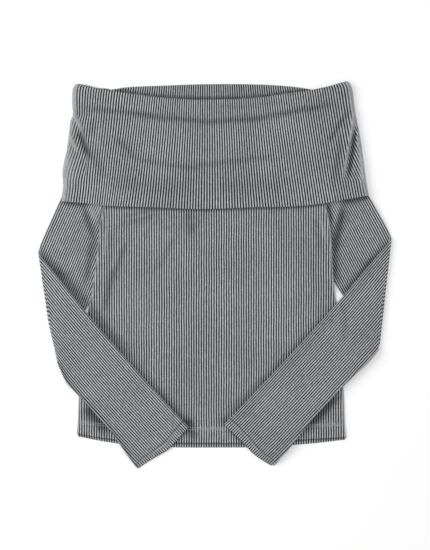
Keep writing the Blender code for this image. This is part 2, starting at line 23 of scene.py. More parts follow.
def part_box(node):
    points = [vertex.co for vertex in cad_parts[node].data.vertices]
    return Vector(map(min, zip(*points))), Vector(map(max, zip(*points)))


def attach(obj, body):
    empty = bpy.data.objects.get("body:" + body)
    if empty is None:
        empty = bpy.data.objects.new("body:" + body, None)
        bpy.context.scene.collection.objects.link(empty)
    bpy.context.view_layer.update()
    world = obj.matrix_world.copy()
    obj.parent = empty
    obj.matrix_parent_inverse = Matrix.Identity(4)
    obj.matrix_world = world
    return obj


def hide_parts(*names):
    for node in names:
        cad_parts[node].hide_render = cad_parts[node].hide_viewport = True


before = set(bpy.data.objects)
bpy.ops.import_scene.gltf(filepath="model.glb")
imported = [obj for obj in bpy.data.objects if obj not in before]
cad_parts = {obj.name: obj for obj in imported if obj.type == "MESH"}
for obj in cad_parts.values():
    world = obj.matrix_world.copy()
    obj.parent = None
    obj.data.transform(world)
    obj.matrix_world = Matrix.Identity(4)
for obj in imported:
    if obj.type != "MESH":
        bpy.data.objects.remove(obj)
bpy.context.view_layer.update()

print("frame holds", sorted(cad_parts))

# %% [markdown]
# ## Real sizes first
#
# Everything below is in millimetres, as a maker would note it, and becomes metres only when a mesh
# is made. The knit is 1.5 mm thick through a ridge and 0.7 mm through a groove. One rib of the
# body is 3.75 mm wide. Layers that lie on each other keep a 0.3 mm gap, so each new layer starts
# 1.8 mm higher than the last.

# %% Cloth sizes
MM = 0.001
WALL = 1.5
RIB_DEPTH = 0.8
LAYER = 1.8
BODY_RIBS = 108
COLLAR_RIBS = 113
SLEEVE_RIBS = 31
SLEEVE_PITCH = 3.45
SAMPLES = 6
HALF_TUBE = 1.65
HALF_SLIT = 0.15
COLLAR_SEAM = 235.0
COLLAR_EDGE = 104.0
HEM_HEIGHT = -245.0
PANEL_TOP = 234.7
RIBS_END = 110.0
FLAP_DEPTH = 176.0
COLLAR_SPAN = 425.0
EDGE_CROWD = 1.8
print("a layer is", LAYER, "mm, its grooves leave", round(WALL - RIB_DEPTH, 1), "mm of cloth")

# %% [markdown]
# ## The outline as short tables
#
# A pattern cutter marks a few points along each edge and draws a smooth curve through them. These
# tables are those marks, seen from above: x runs to the right, y runs from the hem to the collar.

# %% Outline tables
def table(columns, rows):
    """Rows of numbers as dictionaries, each number under the name of its column."""
    return [dict(zip(columns.split(), map(float, row))) for row in rows]


BODY_SIDES = table("y left right", [
    (-245, -206.9, 197.2),
    (-226, -205.6, 195.3),
    (-184, -203.9, 193.9),
    (-121, -198, 189.8),
    (-57, -190.6, 185.6),
    (-29, -184.9, 180.6),
    (14, -178.8, 176.7),
    (46, -175.4, 175.4),
    (76, -172.2, 171.9),
    (104, -167.1, 165.6),
    (118, -165.6, 164.4),
    (235, -150, 148),
])
HEMS = table("x front back", [
    (-207, -240.1, -243.6),
    (-162.6, -247.4, -252),
    (-112.4, -252.1, -258.1),
    (-38.9, -254.3, -260.5),
    (38.9, -254.5, -260.4),
    (129.2, -249.4, -255.8),
    (198, -245.3, -248.5),
])
TUCKS = table("y left right", [
    (118, -166.2, 165),
    (104, -167.7, 166.2),
    (90, -170.3, 169.6),
    (76, -172.8, 172.5),
    (62, -168.4, 168),
    (46, -166.4, 166.4),
    (14, -169.6, 169.2),
    (-2, -172.2, 172.8),
    (-14, -175.2, 178.6),
    (-33, -182.2, 191.9),
    (-44, -187.2, 200.4),
    (-55.3, -193.7, 209),
    (-108.4, -221.4, 246.2),
    (-142, -239, 262),
])
LIFTS = [
    {"side": "left", "top": 88.0, "bottom": -57.0, "run_in": 12.0},
    {"side": "right", "top": 88.0, "bottom": -30.0, "run_in": 16.0},
]
COLLAR_LOW = table("x y", [
    (-231.6, 109.2),
    (-194, 106.1),
    (-161, 102.4),
    (-96, 100.3),
    (-15, 97.7),
    (54, 100.1),
    (112, 101.2),
    (165, 106.4),
    (203, 113),
    (229.7, 117.7),
])
FOLDS = table("x front back", [
    (-208, 286, 285.6),
    (-192.8, 283.4, 282.2),
    (-173, 278.3, 279.8),
    (-164, 276.8, 279.4),
    (-152, 275.3, 277.2),
    (-142, 273.6, 280),
    (-120.5, 270.5, 282),
    (-82.4, 265.6, 283.4),
    (-22.4, 262.3, 285.6),
    (15.2, 262.5, 286),
    (61.7, 265, 285.4),
    (111.2, 271.6, 282.6),
    (139.7, 275.8, 278.8),
    (150, 277.4, 276.6),
    (170.9, 281.9, 279.6),
    (199, 290, 289.6),
])
COLLAR_LEFT = table("y x", [
    (109.2, -230.3),
    (132.2, -227.3),
    (152.6, -228.4),
    (171.1, -225.6),
    (187.1, -221.9),
    (217.1, -218.1),
    (230, -216.4),
    (241.9, -212.2),
    (254, -213.6),
    (266, -213.9),
    (279.4, -212.8),
    (286, -208.6),
])
COLLAR_RIGHT = table("y x", [
    (117.7, 231.2),
    (129.5, 229),
    (141.5, 227.1),
    (163.1, 224.4),
    (200.6, 219.1),
    (242, 211.4),
    (256, 209.2),
    (272, 207.4),
    (283, 204.8),
    (290, 200.5),
])
SLEEVES = {
    "left": {"x": -264.9, "y": 29.6, "upper": 24.3, "fold": 8.35, "fore": 343.2,
             "fold_width": 93.5, "middle_width": 89.5, "cuff_width": 99.4, "cuff_slant": -0.032,
             "bow": 3.6, "edge_slope": -0.075, "collar_y": 109.6, "round": 6.8, "belly": 3.6,
             "round_run": 0.14, "draw": 5.4, "waist": 0.0},
    "right": {"x": 265.4, "y": 50.6, "upper": 29.5, "fold": 6.35, "fore": 372.2,
              "fold_width": 94.5, "middle_width": 89.8, "cuff_width": 97.5, "cuff_slant": -0.04,
              "bow": 3.6, "edge_slope": -0.175, "collar_y": 117.7, "round": 1.2, "belly": 3.4,
              "round_run": 0.12, "draw": 0.0, "waist": 0.8},
}
CUFF_ENDS = table("share left right", [
    (0, 0, 0),
    (0.2, 3.2, 1),
    (0.4, 5.1, 2.8),
    (0.62, 2.4, 5),
    (0.82, 0.3, 3.2),
    (1, 0, 0),
])
print("tables ready")

# %% [markdown]
# ## Reading a smooth curve from a table
#
# Straight lines between the marks would leave corners in the cloth's edge. This reads a curve that
# passes through every mark and never swings past one, so an edge that should be calm stays calm.

# %% Curve reader
def read(table, key, column, at):
    """Value of a column where the key column reaches a place, along a smooth curve."""
    rows = sorted(table, key=lambda row: row[key])
    keys = np.array([row[key] for row in rows])
    values = np.array([row[column] for row in rows])
    at = np.clip(np.asarray(at, float), keys[0], keys[-1])
    slopes = np.diff(values) / np.diff(keys)
    before, after = slopes[:-1], slopes[1:]
    safe = np.where(before * after > 0.0, before + after, 1.0)
    inner = np.where(before * after > 0.0, 2.0 * before * after / safe, 0.0)
    tangents = np.concatenate([slopes[:1], inner, slopes[-1:]])
    i = np.clip(np.searchsorted(keys, at) - 1, 0, len(keys) - 2)
    span = keys[i + 1] - keys[i]
    t = (at - keys[i]) / span
    rise = 3.0 * t ** 2 - 2.0 * t ** 3
    bend = tangents[i] * (t - 2.0 * t ** 2 + t ** 3) + tangents[i + 1] * (t ** 3 - t ** 2)
    return values[i] + (values[i + 1] - values[i]) * rise + span * bend


def ease(t):
    """Soft step from 0 to 1."""
    t = np.clip(t, 0.0, 1.0)
    return t * t * (3.0 - 2.0 * t)


def mix(a, b, t):
    """Straight blend of two values."""
    return a + (b - a) * t


chest = [float(read(BODY_SIDES, "y", edge, 14.0)) for edge in ("left", "right")]
print("chest is %.0f mm wide" % (chest[1] - chest[0]))

# %% [markdown]
# ## Small unevenness
#
# Knit is never ruled with a straightedge. Its ribs sway by a fraction of a millimetre, and a laid
# garment has soft swells where air is caught under it. A few long sine waves laid across each
# other at odd angles give that slow, even unrest, and they come out the same on every run.

# %% Sway and swells
def sway(x, y, size, seed):
    """Slow unevenness from -1 to 1, with swells about one size apart, in millimetres."""
    dice = np.random.default_rng(seed)
    total = np.zeros(np.broadcast(x, y).shape)
    for step in range(5):
        angle, phase = dice.uniform(0.0, math.pi), dice.uniform(0.0, 2.0 * math.pi)
        wave = 2.0 * math.pi / (size * dice.uniform(0.7, 1.6))
        total = total + np.sin((x * math.cos(angle) + y * math.sin(angle)) * wave + phase)
    return total / 3.2


def rib_profile(phase):
    """Height across one rib, from 0 in the groove to 1 along the rounded ridge."""
    side = np.abs(2.0 * (phase % 1.0) - 1.0)
    return 1.0 - side ** 1.8


print("one rib:", [round(float(rib_profile(i / 6.0)), 2) for i in range(6)])

# %% [markdown]
# ## Creases
#
# These are the folds that the eye finds first. Each row is one soft ridge: where it starts and
# ends, how wide it is and how far it stands up. A crease rises and dies away along its length, and
# no two of them are alike. The last column is painted light on the knit: above 0 it paints a
# smooth pale band along a crest as a painted highlight, below 0 it paints shade in a hollow. Rows
# that stand 0 high only paint: shadows along the edges of the forearms and cuffs, and a few pale
# bands as painted highlights.

# %% Crease tables
CREASES = {
    "collar": table("x1 y1 x2 y2 wide high pull", [
        (-214, 247, -197, 212, 2.7, 2.6, 1),
        (-207, 219, -187, 174, 4.4, -2, -0.95),
        (-218, 211, -205, 182, 2.4, 2.1, 0.95),
        (-222, 186, -207, 132, 6.5, 1, 0.1),
        (-230, 202, -228, 84, 10, 0, 0.62),
        (-216, 244, -220, 128, 10, 0, 0.26),
        (-192, 192, -162, 142, 7, -1, -0.35),
        (-183.5, 234, -181, 206, 6, -0.9, -0.35),
        (-176, 234, -172, 180, 9, 0.9, 0.16),
        (209, 245, 201.5, 192, 1.9, 2.6, 1),
        (202, 200, 193, 142, 1.9, 2.2, 0.6),
        (212.5, 226, 200, 140, 2.6, -2.4, -1.9),
        (204, 250, 166, 190, 4, -1.3, -0.55),
        (192, 214, 178, 132, 5, -1.2, -0.45),
        (219, 182, 221, 128, 3.4, 1.2, 0.4),
        (-206, 249, -82, 238, 4.5, -0.8, -0.5),
        (-124, 239, 4, 227, 4.5, -0.9, -0.62),
        (-26, 227.5, 84, 234, 4.5, -0.9, -0.62),
        (46, 231, 188, 256, 4.5, -0.9, -0.62),
        (-110, 251, 10, 240, 5, 0.9, 0),
        (0, 240, 120, 254, 6, 0.9, 0),
        (-20, 246, 130, 260, 3.5, -0.5, -0.2),
        (-151, 208, -112, 168, 4.5, -0.8, -0.45),
        (-124, 173, -28, 158, 4, -0.7, -0.42),
        (-48, 158, 34, 171, 4, -0.7, -0.38),
        (12, 167, 104, 177, 4.5, -0.6, -0.33),
        (-120, 200, 20, 190, 12, 0.7, 0),
        (100, 205, 118, 160, 5, -0.5, -0.2),
        (-176, 137, -10, 128, 13, -0.5, -0.24),
        (-20, 129, 130, 137, 12, -0.5, -0.24),
        (-60, 147, 60, 146, 7, 0.5, 0),
    ]),
    "front": table("x1 y1 x2 y2 wide high pull", [
        (-160.5, 100, -164, 20, 3, 0.8, 0.45),
        (-152, 70, -158, 6, 5, -0.5, -0.2),
        (-131, 52, -154, -10, 4.5, -0.8, -0.5),
        (-152, 14, -166, -62, 6, -0.8, -0.6),
        (-140, 40, -158, -20, 4, 0.8, 0),
        (-112, 46, -124, -14, 10, 0.8, 0),
        (-156, 70, -80, 90, 3.4, -0.7, -0.35),
        (-146, 84, -92, 96, 3, -0.6, -0.3),
        (-40, 99, -36, 56, 8.5, -0.7, -0.45),
        (-16, 96, -37, 54, 5, -0.6, -0.15),
        (-58, 58, -94, -6, 5, -0.6, -0.32),
        (-50, 86, -74, 44, 7, 0.7, 0),
        (-12, 70, 0, 30, 9, 0.5, 0),
        (-100, -10, -80, -60, 12, 0.4, 0),
        (-126, 0, -90, -104, 24, 0, 0.12),
        (156, 96, 168, 44, 2.8, 1, 0.35),
        (150, 92, 160, 30, 5, -0.6, -0.3),
        (146, 40, 150, -36, 5, -0.5, -0.22),
        (110, 60, 128, -20, 16, -0.4, -0.12),
        (-206, -26, -128, -124, 8, 0, -0.62),
        (-152, -90, -62, -206, 8, 0, -0.24),
        (-92, -166, -30, -240, 8, 0, -0.45),
        (-44, -214, -28, -252, 7, 0, -0.8),
        (-196, -194, -156, -240, 10.5, 0, -1.3),
        (196, -32, 104, -130, 5.5, 0, -0.55),
        (130, -101, 4, -234, 6.5, 0, -0.6),
        (191, -176, 130, -242, 7.5, 0, -1.05),
        (-30, -218, -92, -272, 6.5, 0, -1.2),
        (6, -212, 64, -272, 5, 0, -1.1),
    ]),
    "left": table("x1 y1 x2 y2 wide high pull", [
        (-215, 96, -236, 44, 9, 0.9, 0),
        (-191, 108, -174, 72, 4, 1.8, 0.5),
        (-172, 108, -171, 84, 7, 0.8, 0.35),
        (-197, 102, -180, 50, 5.5, -0.9, -0.75),
        (-181, 62, -194, -20, 6, -0.9, -0.65),
        (-236, 110, -182, 102, 4.5, -0.6, -0.9),
        (-272, 42, -222, -10, 6.5, 0, -0.7),
        (-240, 12, -178, -62, 8, 0, -0.75),
    ]),
    "right": table("x1 y1 x2 y2 wide high pull", [
        (188, 112, 181, 74, 4.5, 1.8, 0.3),
        (169, 112, 175, 74, 3.8, -1.6, -1.2),
        (194, 106, 180, 36, 6.5, -1, -1.05),
        (181, 60, 182, -22, 6, -0.9, -0.9),
        (212, 104, 240, 58, 9, 0.9, 0),
        (184, 106, 240, 118, 5, -0.6, -0.95),
        (274, 58, 220, 2, 6, 0, -0.85),
        (248, 30, 182, -42, 6, 0, -0.95),
    ]),
    "left_fore": table("x1 y1 x2 y2 wide high pull", [
        (-205, -60, -150, -118, 9, 0.8, 0),
        (-234, -30, -222, -100, 9, 0.8, 0),
        (-182, -182, -140, -224, 5, -0.6, -0.2),
        (-150, -140, -120, -176, 8, 0.5, 0),
    ]),
    "right_fore": table("x1 y1 x2 y2 wide high pull", [
        (194, -40, 196, -106, 4, -0.9, -0.3),
        (240, -10, 226, -96, 9, 0.8, 0),
        (150, -130, 176, -160, 8, 0.5, 0),
    ]),
}


def creases(piece, x, y, column="high"):
    """What the creases of a piece add at each place: their height, or the light and shade that they
    paint on the knit.
    """
    total = np.zeros(np.broadcast(x, y).shape)
    for row in CREASES[piece]:
        run = np.array([row["x2"] - row["x1"], row["y2"] - row["y1"]])
        length = float(np.hypot(*run))
        run = run / length
        along = ((x - row["x1"]) * run[0] + (y - row["y1"]) * run[1]) / length
        across = (x - row["x1"]) * run[1] - (y - row["y1"]) * run[0]
        taper = ease(along / 0.35 + 0.15) * ease((1.0 - along) / 0.35 + 0.15)
        total = total + row[column] * np.exp(-(across / row["wide"]) ** 2) * taper
    return total


print(sum(len(rows) for rows in CREASES.values()), "creases")

# %% [markdown]
# ## From rows of points to a sheet of knit
#
# Every piece is a closed shell: an outer skin with ribs, a plain inner skin, and the narrow edge
# that joins them. Each row is a loop of points that runs once round the cloth, and neighbouring
# rows are joined by faces. Where one row needs more points than the next, a zip of triangles joins
# them. Each point also carries two numbers for its material: which rib it is on and how many
# millimetres along that rib it lies, so a pattern follows the knit through every fold.

# %% Shell builder
front_low, front_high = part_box("front")
SHIFT = np.array([front_low.x / MM - BODY_SIDES[0]["left"],
                  front_high.y / MM - PANEL_TOP, 0.0])
print("drawing moves by", [round(float(s), 2) for s in SHIFT], "mm")


def zip_rows(a, a_at, b, b_at):
    """Triangles between two rows of point numbers that run side by side."""
    faces = []
    i, j = 0, 0
    while i < len(a) - 1 or j < len(b) - 1:
        if j == len(b) - 1 or (i < len(a) - 1 and a_at[i + 1] <= b_at[j + 1]):
            faces.append((a[i], a[i + 1], b[j]))
            i += 1
        else:
            faces.append((a[i], b[j + 1], b[j]))
            j += 1
    return faces


class Shell:
    """Collects rows of points with their place round the row, their rib coordinates and their
    painted light and shade.
    """

    def __init__(self):
        self.points, self.ribs, self.pulls, self.faces, self.count = [], [], [], [], 0

    def row(self, at, x, y, z, rib, along, pull=0.0):
        shape = np.shape(at)
        parts = [np.broadcast_to(v, shape) for v in (x, y, z, rib, along, pull)]
        self.points.append(np.stack(parts[:3], axis=1))
        self.ribs.append(np.stack(parts[3:5], axis=1))
        self.pulls.append(np.clip(parts[5], -1.0, 1.0))
        index = np.arange(self.count, self.count + len(at))
        self.count += len(at)
        return {"at": np.asarray(at), "index": index}

    def join(self, a, b):
        if len(a["at"]) == len(b["at"]) and np.allclose(a["at"], b["at"]):
            low, high = a["index"], b["index"]
            self.faces += np.stack([low[:-1], low[1:], high[1:], high[:-1]], axis=1).tolist()
        else:
            self.faces += zip_rows(a["index"].tolist(), a["at"], b["index"].tolist(), b["at"])

    def cap(self, row, middle):
        """Close a flattened row by zipping its upper half to its lower half."""
        upper = row["at"] <= middle
        lower = ~upper
        top, low = row["index"][upper], row["index"][lower][::-1]
        top_at = row["at"][upper] / middle
        low_at = (1.0 - row["at"][lower][::-1]) / (1.0 - middle)
        self.faces += zip_rows(top.tolist(), top_at, low.tolist(), low_at)

    def finish(self, name, material, node):
        points = (np.concatenate(self.points) + SHIFT) * MM
        ribs = np.concatenate(self.ribs)
        mesh = bpy.data.meshes.new(name)
        mesh.from_pydata(points.tolist(), [], self.faces)
        layer = mesh.uv_layers.new(name="rib_map")
        corners = np.zeros(len(mesh.loops), np.int32)
        mesh.loops.foreach_get("vertex_index", corners)
        layer.data.foreach_set("uv", ribs[corners].astype(np.float32).ravel())
        # Painted light per point for the material: above 0 a painted highlight, below 0 painted
        # shade
        pull = mesh.attributes.new("pull", "FLOAT", "POINT")
        pull.data.foreach_set("value", np.concatenate(self.pulls).astype(np.float32))
        work = bmesh.new()
        work.from_mesh(mesh)
        bmesh.ops.remove_doubles(work, verts=work.verts, dist=1e-7)
        bmesh.ops.dissolve_degenerate(work, edges=work.edges, dist=1e-8)
        bmesh.ops.recalc_face_normals(work, faces=work.faces)
        open_edges = sum(1 for edge in work.edges if not edge.is_manifold)
        work.to_mesh(mesh)
        work.free()
        mesh.shade_smooth()
        mesh.materials.append(material)
        piece = bpy.data.objects.new(name, mesh)
        bpy.context.scene.collection.objects.link(piece)
        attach(piece, "root")
        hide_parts(node)
        triangles = sum(len(face.vertices) - 2 for face in mesh.polygons)
        print(name, "has", triangles, "triangles and", open_edges, "open edges")
        return piece


# %% [markdown]
# ## The knit as a material
#
# The real yarn is a melange: light and dark fibres carded together, then knitted as ribs. It
# gives the eye three scales at once: pale ridges and dark grooves 3.7 mm apart, stitches about
# 1.2 mm long along each ridge, and a fine speckle of fibres. The grooves are coloured near black,
# far darker than the yarn: that is painted shade, on top of the real shade of the grooves.
# Wool and viscose have no gloss, only a faint sheen at grazing angles from the fibre ends. One
# small function adds a node, so each material reads from top to bottom like a recipe.

# %% Node helper and colours
def linear(code):
    """A colour from its sRGB hex value, as linear light."""
    values = [int(code[i:i + 2], 16) / 255.0 for i in (1, 3, 5)]
    return tuple(v / 12.92 if v <= 0.04045 else ((v + 0.055) / 1.055) ** 2.4
                 for v in values) + (1.0,)


def add(tree, kind, settings=None, **links):
    """Add a node, give it its settings, and link or set its inputs by name."""
    node = tree.nodes.new(kind)
    for key, value in (settings or {}).items():
        setattr(node, key, value)
    for key, value in links.items():
        by_number = key[0] == "i" and key[1:].isdigit()
        socket = node.inputs[int(key[1:]) if by_number else key]
        if isinstance(value, bpy.types.NodeSocket):
            tree.links.new(value, socket)
        else:
            socket.default_value = value
    return node


def calc(tree, operation, *values):
    """A maths node on one to three numbers or links."""
    inputs = {"i%d" % place: value for place, value in enumerate(values)}
    return add(tree, "ShaderNodeMath", {"operation": operation}, **inputs).outputs[0]


def stretched_noise(tree, uv, stretch, detail):
    """Soft noise along the ribs, with the stretch given as spots per rib and per millimetre."""
    at = add(tree, "ShaderNodeMapping", i0=uv, Scale=stretch + (1.0,)).outputs[0]
    return add(tree, "ShaderNodeTexNoise", i0=at, Scale=1.0, Detail=detail).outputs[0]


def empty_material(name):
    """A new material without nodes, and its tree."""
    material = bpy.data.materials.new(name)
    material.use_nodes = True
    material.node_tree.nodes.clear()
    return material, material.node_tree


def ramp(tree, value, stops):
    """A colour ramp with the stops given as place and hex colour."""
    node = add(tree, "ShaderNodeValToRGB", i0=value)
    while len(node.color_ramp.elements) < len(stops):
        node.color_ramp.elements.new(0.5)
    for element, (place, code) in zip(node.color_ramp.elements, stops):
        element.position = place
        element.color = linear(code)
    return node.outputs[0]


def rib_knit(name, groove, side, ridge, smooth="#9C9EA1", tone=1.0):
    """Melange rib knit: colour by rib, stitch and fibre, painted shade in the grooves, painted
    light and shade from creases and edges, and a soft raised stitch pattern.
    """
    material, tree = empty_material(name)
    uv = add(tree, "ShaderNodeUVMap", {"uv_map": "rib_map"}).outputs[0]
    split = add(tree, "ShaderNodeSeparateXYZ", i0=uv)
    rib, along = split.outputs[0], split.outputs[1]
    phase = calc(tree, "FRACT", rib)
    centred = calc(tree, "MULTIPLY_ADD", phase, 2.0, -1.0)
    off_ridge = calc(tree, "ABSOLUTE", centred)
    # Stitches: a chevron every 1.2 mm, its arms rising towards the middle of the ridge
    course = calc(tree, "MULTIPLY", along, 1.0 / 1.2)
    arms = calc(tree, "MULTIPLY_ADD", off_ridge, 0.9, course)
    turn = calc(tree, "MULTIPLY", arms, 2.0 * math.pi)
    stitch = calc(tree, "SINE", turn)
    # Yarn: slow changes of shade along a rib, streaks of 10 mm by a third of a rib
    streak = stretched_noise(tree, uv, (1.3, 0.11), 3.0)
    # Fibres: a speckle of 0.8 mm, coarser than real fibre so that it shows
    fibre = stretched_noise(tree, uv, (4.2, 1.2), 2.0)
    # Large soft patches where the knit is pulled or rests looser
    place = add(tree, "ShaderNodeTexCoord").outputs["Object"]
    patch_noise = add(tree, "ShaderNodeTexNoise", i0=place, Scale=14.0, Detail=2.0).outputs[0]
    # Clumps: darker and lighter stretches 3 mm long, where one sort of fibre gathers
    clump = stretched_noise(tree, uv, (1.1, 0.33), 1.0)
    # Each wale has its own tension, so some ribs stand a little lighter than others
    wale = calc(tree, "FLOOR", rib)
    own = add(tree, "ShaderNodeTexWhiteNoise", {"noise_dimensions": "1D"}, W=wale).outputs["Value"]
    wobble = calc(tree, "MULTIPLY_ADD", streak, 0.4, -0.2)
    shade = calc(tree, "ADD", off_ridge, wobble)
    # Painted shade: the grooves and rib sides are coloured far darker than the yarn, standing in
    # for the shade in the grooves, and the ridges pale
    base = ramp(tree, shade, [(0.0, ridge), (0.3, ridge), (0.5, side), (0.66, groove)])
    # Painted light from creases and edges: above 0 the ribs blend to one pale smooth tone, a
    # painted highlight, and below 0 the knit darkens, painted shade
    pull = add(tree, "ShaderNodeAttribute", {"attribute_name": "pull"}).outputs["Fac"]
    crest = calc(tree, "MAXIMUM", pull, 0.0)
    base = add(tree, "ShaderNodeMix", {"data_type": "RGBA"},
               i0=crest, i6=base, i7=linear(smooth)).outputs[2]
    painted_shade = calc(tree, "MINIMUM", pull, 0.0)
    painted_shade = calc(tree, "MULTIPLY_ADD", painted_shade, 0.68, 1.0)
    speck = calc(tree, "MULTIPLY_ADD", fibre, 0.5, 0.75)
    clumps = calc(tree, "MULTIPLY_ADD", clump, 0.7, 0.65)
    own_gain = calc(tree, "MULTIPLY_ADD", own, 0.1, 0.95)
    loops = calc(tree, "MULTIPLY_ADD", stitch, 0.07, tone)
    patch_gain = calc(tree, "MULTIPLY_ADD", patch_noise, 0.4, 0.8)
    gain = speck
    for factor in (clumps, own_gain, loops, patch_gain, painted_shade):
        gain = calc(tree, "MULTIPLY", gain, factor)
    colour = add(tree, "ShaderNodeVectorMath", {"operation": "SCALE"},
                 i0=base, Scale=gain).outputs[0]
    height = calc(tree, "MULTIPLY_ADD", stitch, 0.5, fibre)
    bump = add(tree, "ShaderNodeBump", Strength=0.5, Distance=0.00022, Height=height).outputs[0]
    shader = add(tree, "ShaderNodeBsdfPrincipled", **{"Base Color": colour, "Roughness": 0.93,
                 "Normal": bump, "Sheen Weight": 0.18, "Sheen Roughness": 0.5,
                 "Specular IOR Level": 0.25})
    add(tree, "ShaderNodeOutputMaterial", Surface=shader.outputs[0])
    print("material", name)
    return material


knit_front = rib_knit("melange_rib_knit_front", "#17191A", "#5C5E60", "#B2B3B5")
knit_back = rib_knit("melange_rib_knit_back", "#17191A", "#5A5C5E", "#AEB0B2")
knit_collar = rib_knit("melange_rib_knit_collar", "#151819", "#5A5D5F", "#AFB1B3")
knit_left = rib_knit("melange_rib_knit_left_sleeve", "#171B1D", "#5C6163", "#B4B8BA")
knit_right = rib_knit("melange_rib_knit_right_sleeve", "#171A1C", "#5B5F61", "#B1B4B6")

# %% [markdown]
# ## Front and back
#
# The body is two panels of the same cut. Ribs stand upright, and the slanting side seams cut them
# off, as they do when a panel is cut from straight knit. The hem is turned up 20 mm and held by
# two rows of stitches, so it is a little thicker there and the stitches pull it down in a shallow
# line. Near the collar both panels rise, because the collar's back half lies under them.

# %% Body helpers
FIRST, LAST = BODY_SIDES[0]["left"], BODY_SIDES[0]["right"]


def body_height(level, x, hem):
    """Height of points on a row, rows following the hem and the collar's free edge."""
    if level < -170.0:
        share = (-170.0 - level) / (-170.0 - HEM_HEIGHT)
        return level + (read(HEMS, "x", hem, x) - HEM_HEIGHT) * share
    if 40.0 < level < 150.0:
        share = min(1.0, (level - 40.0) / 36.0, (150.0 - level) / 32.0)
        return level + (read(COLLAR_LOW, "x", "y", x) - COLLAR_EDGE) * share
    return level + 0.0 * x


def settle(level):
    """Height that the collar's back half adds under the panels."""
    return LAYER * ease((level - COLLAR_EDGE + 22.0) / 20.0)


def lift(x, y):
    """Height that the front takes over the tucked edge of each sleeve."""
    height = np.zeros(np.shape(x))
    for row in LIFTS:
        edge = read(TUCKS, "y", row["side"], y)
        inward = x - edge if row["side"] == "left" else edge - x
        across = ease((12.0 - inward) / 11.0)
        along = ease((row["top"] - y) / 12.0) * ease((y - row["bottom"]) / row["run_in"])
        height = np.maximum(height, LAYER * across * along)
    return height


def crowd(raw, left, right, band):
    """Places of upright ribs that the side seams cut off, and how freely each rib stands."""
    low, high = left + band, right - band
    low_share = band / (low - FIRST) if low > FIRST else 1.0
    high_share = band / (LAST - high) if LAST > high else 1.0
    x = np.where(raw < low, left + (raw - FIRST) * low_share, raw)
    x = np.where(raw > high, right - (LAST - raw) * high_share, x)
    free = np.where(raw < low, low_share, np.where(raw > high, high_share, 1.0))
    return x, free


def rounded(distance):
    """How far a sheet has opened to its full thickness at a distance from its edge."""
    t = np.clip(distance / 0.9, 0.0, 1.0)
    return 0.3 + 0.7 * np.sqrt(1.0 - (1.0 - t) ** 2)


FOREARM_TOP, FOREARM_SLOPE, FOREARM_SOFT = -57.0, 1.11, 14.0


def cover(x, y):
    """1 where a forearm lies over the body, where a swell would push into it."""
    left = (y - FOREARM_TOP) + (x + 188.0) * FOREARM_SLOPE
    right = (y - FOREARM_TOP) - (x - 173.0) * FOREARM_SLOPE
    return np.maximum(*[ease(1.0 - (far - FOREARM_SOFT) / FOREARM_SOFT) for far in (left, right)])


print("edge opens over 0.9 mm:", [round(float(rounded(far)), 2) for far in (0.0, 0.3, 0.9)])

# %% [markdown]
# The rows are closer together where the cloth turns: round the edge of the hem, along the line of
# stitches, and on the slope below the collar. Elsewhere one row every 3.8 mm is enough.

# %% Panel maker
STITCH_ROWS = {"hem": (21.5, 18.5), "cuff": (11.8, 9.6)}
SEWN = {"front": [], "back": [], "left": [], "right": []}


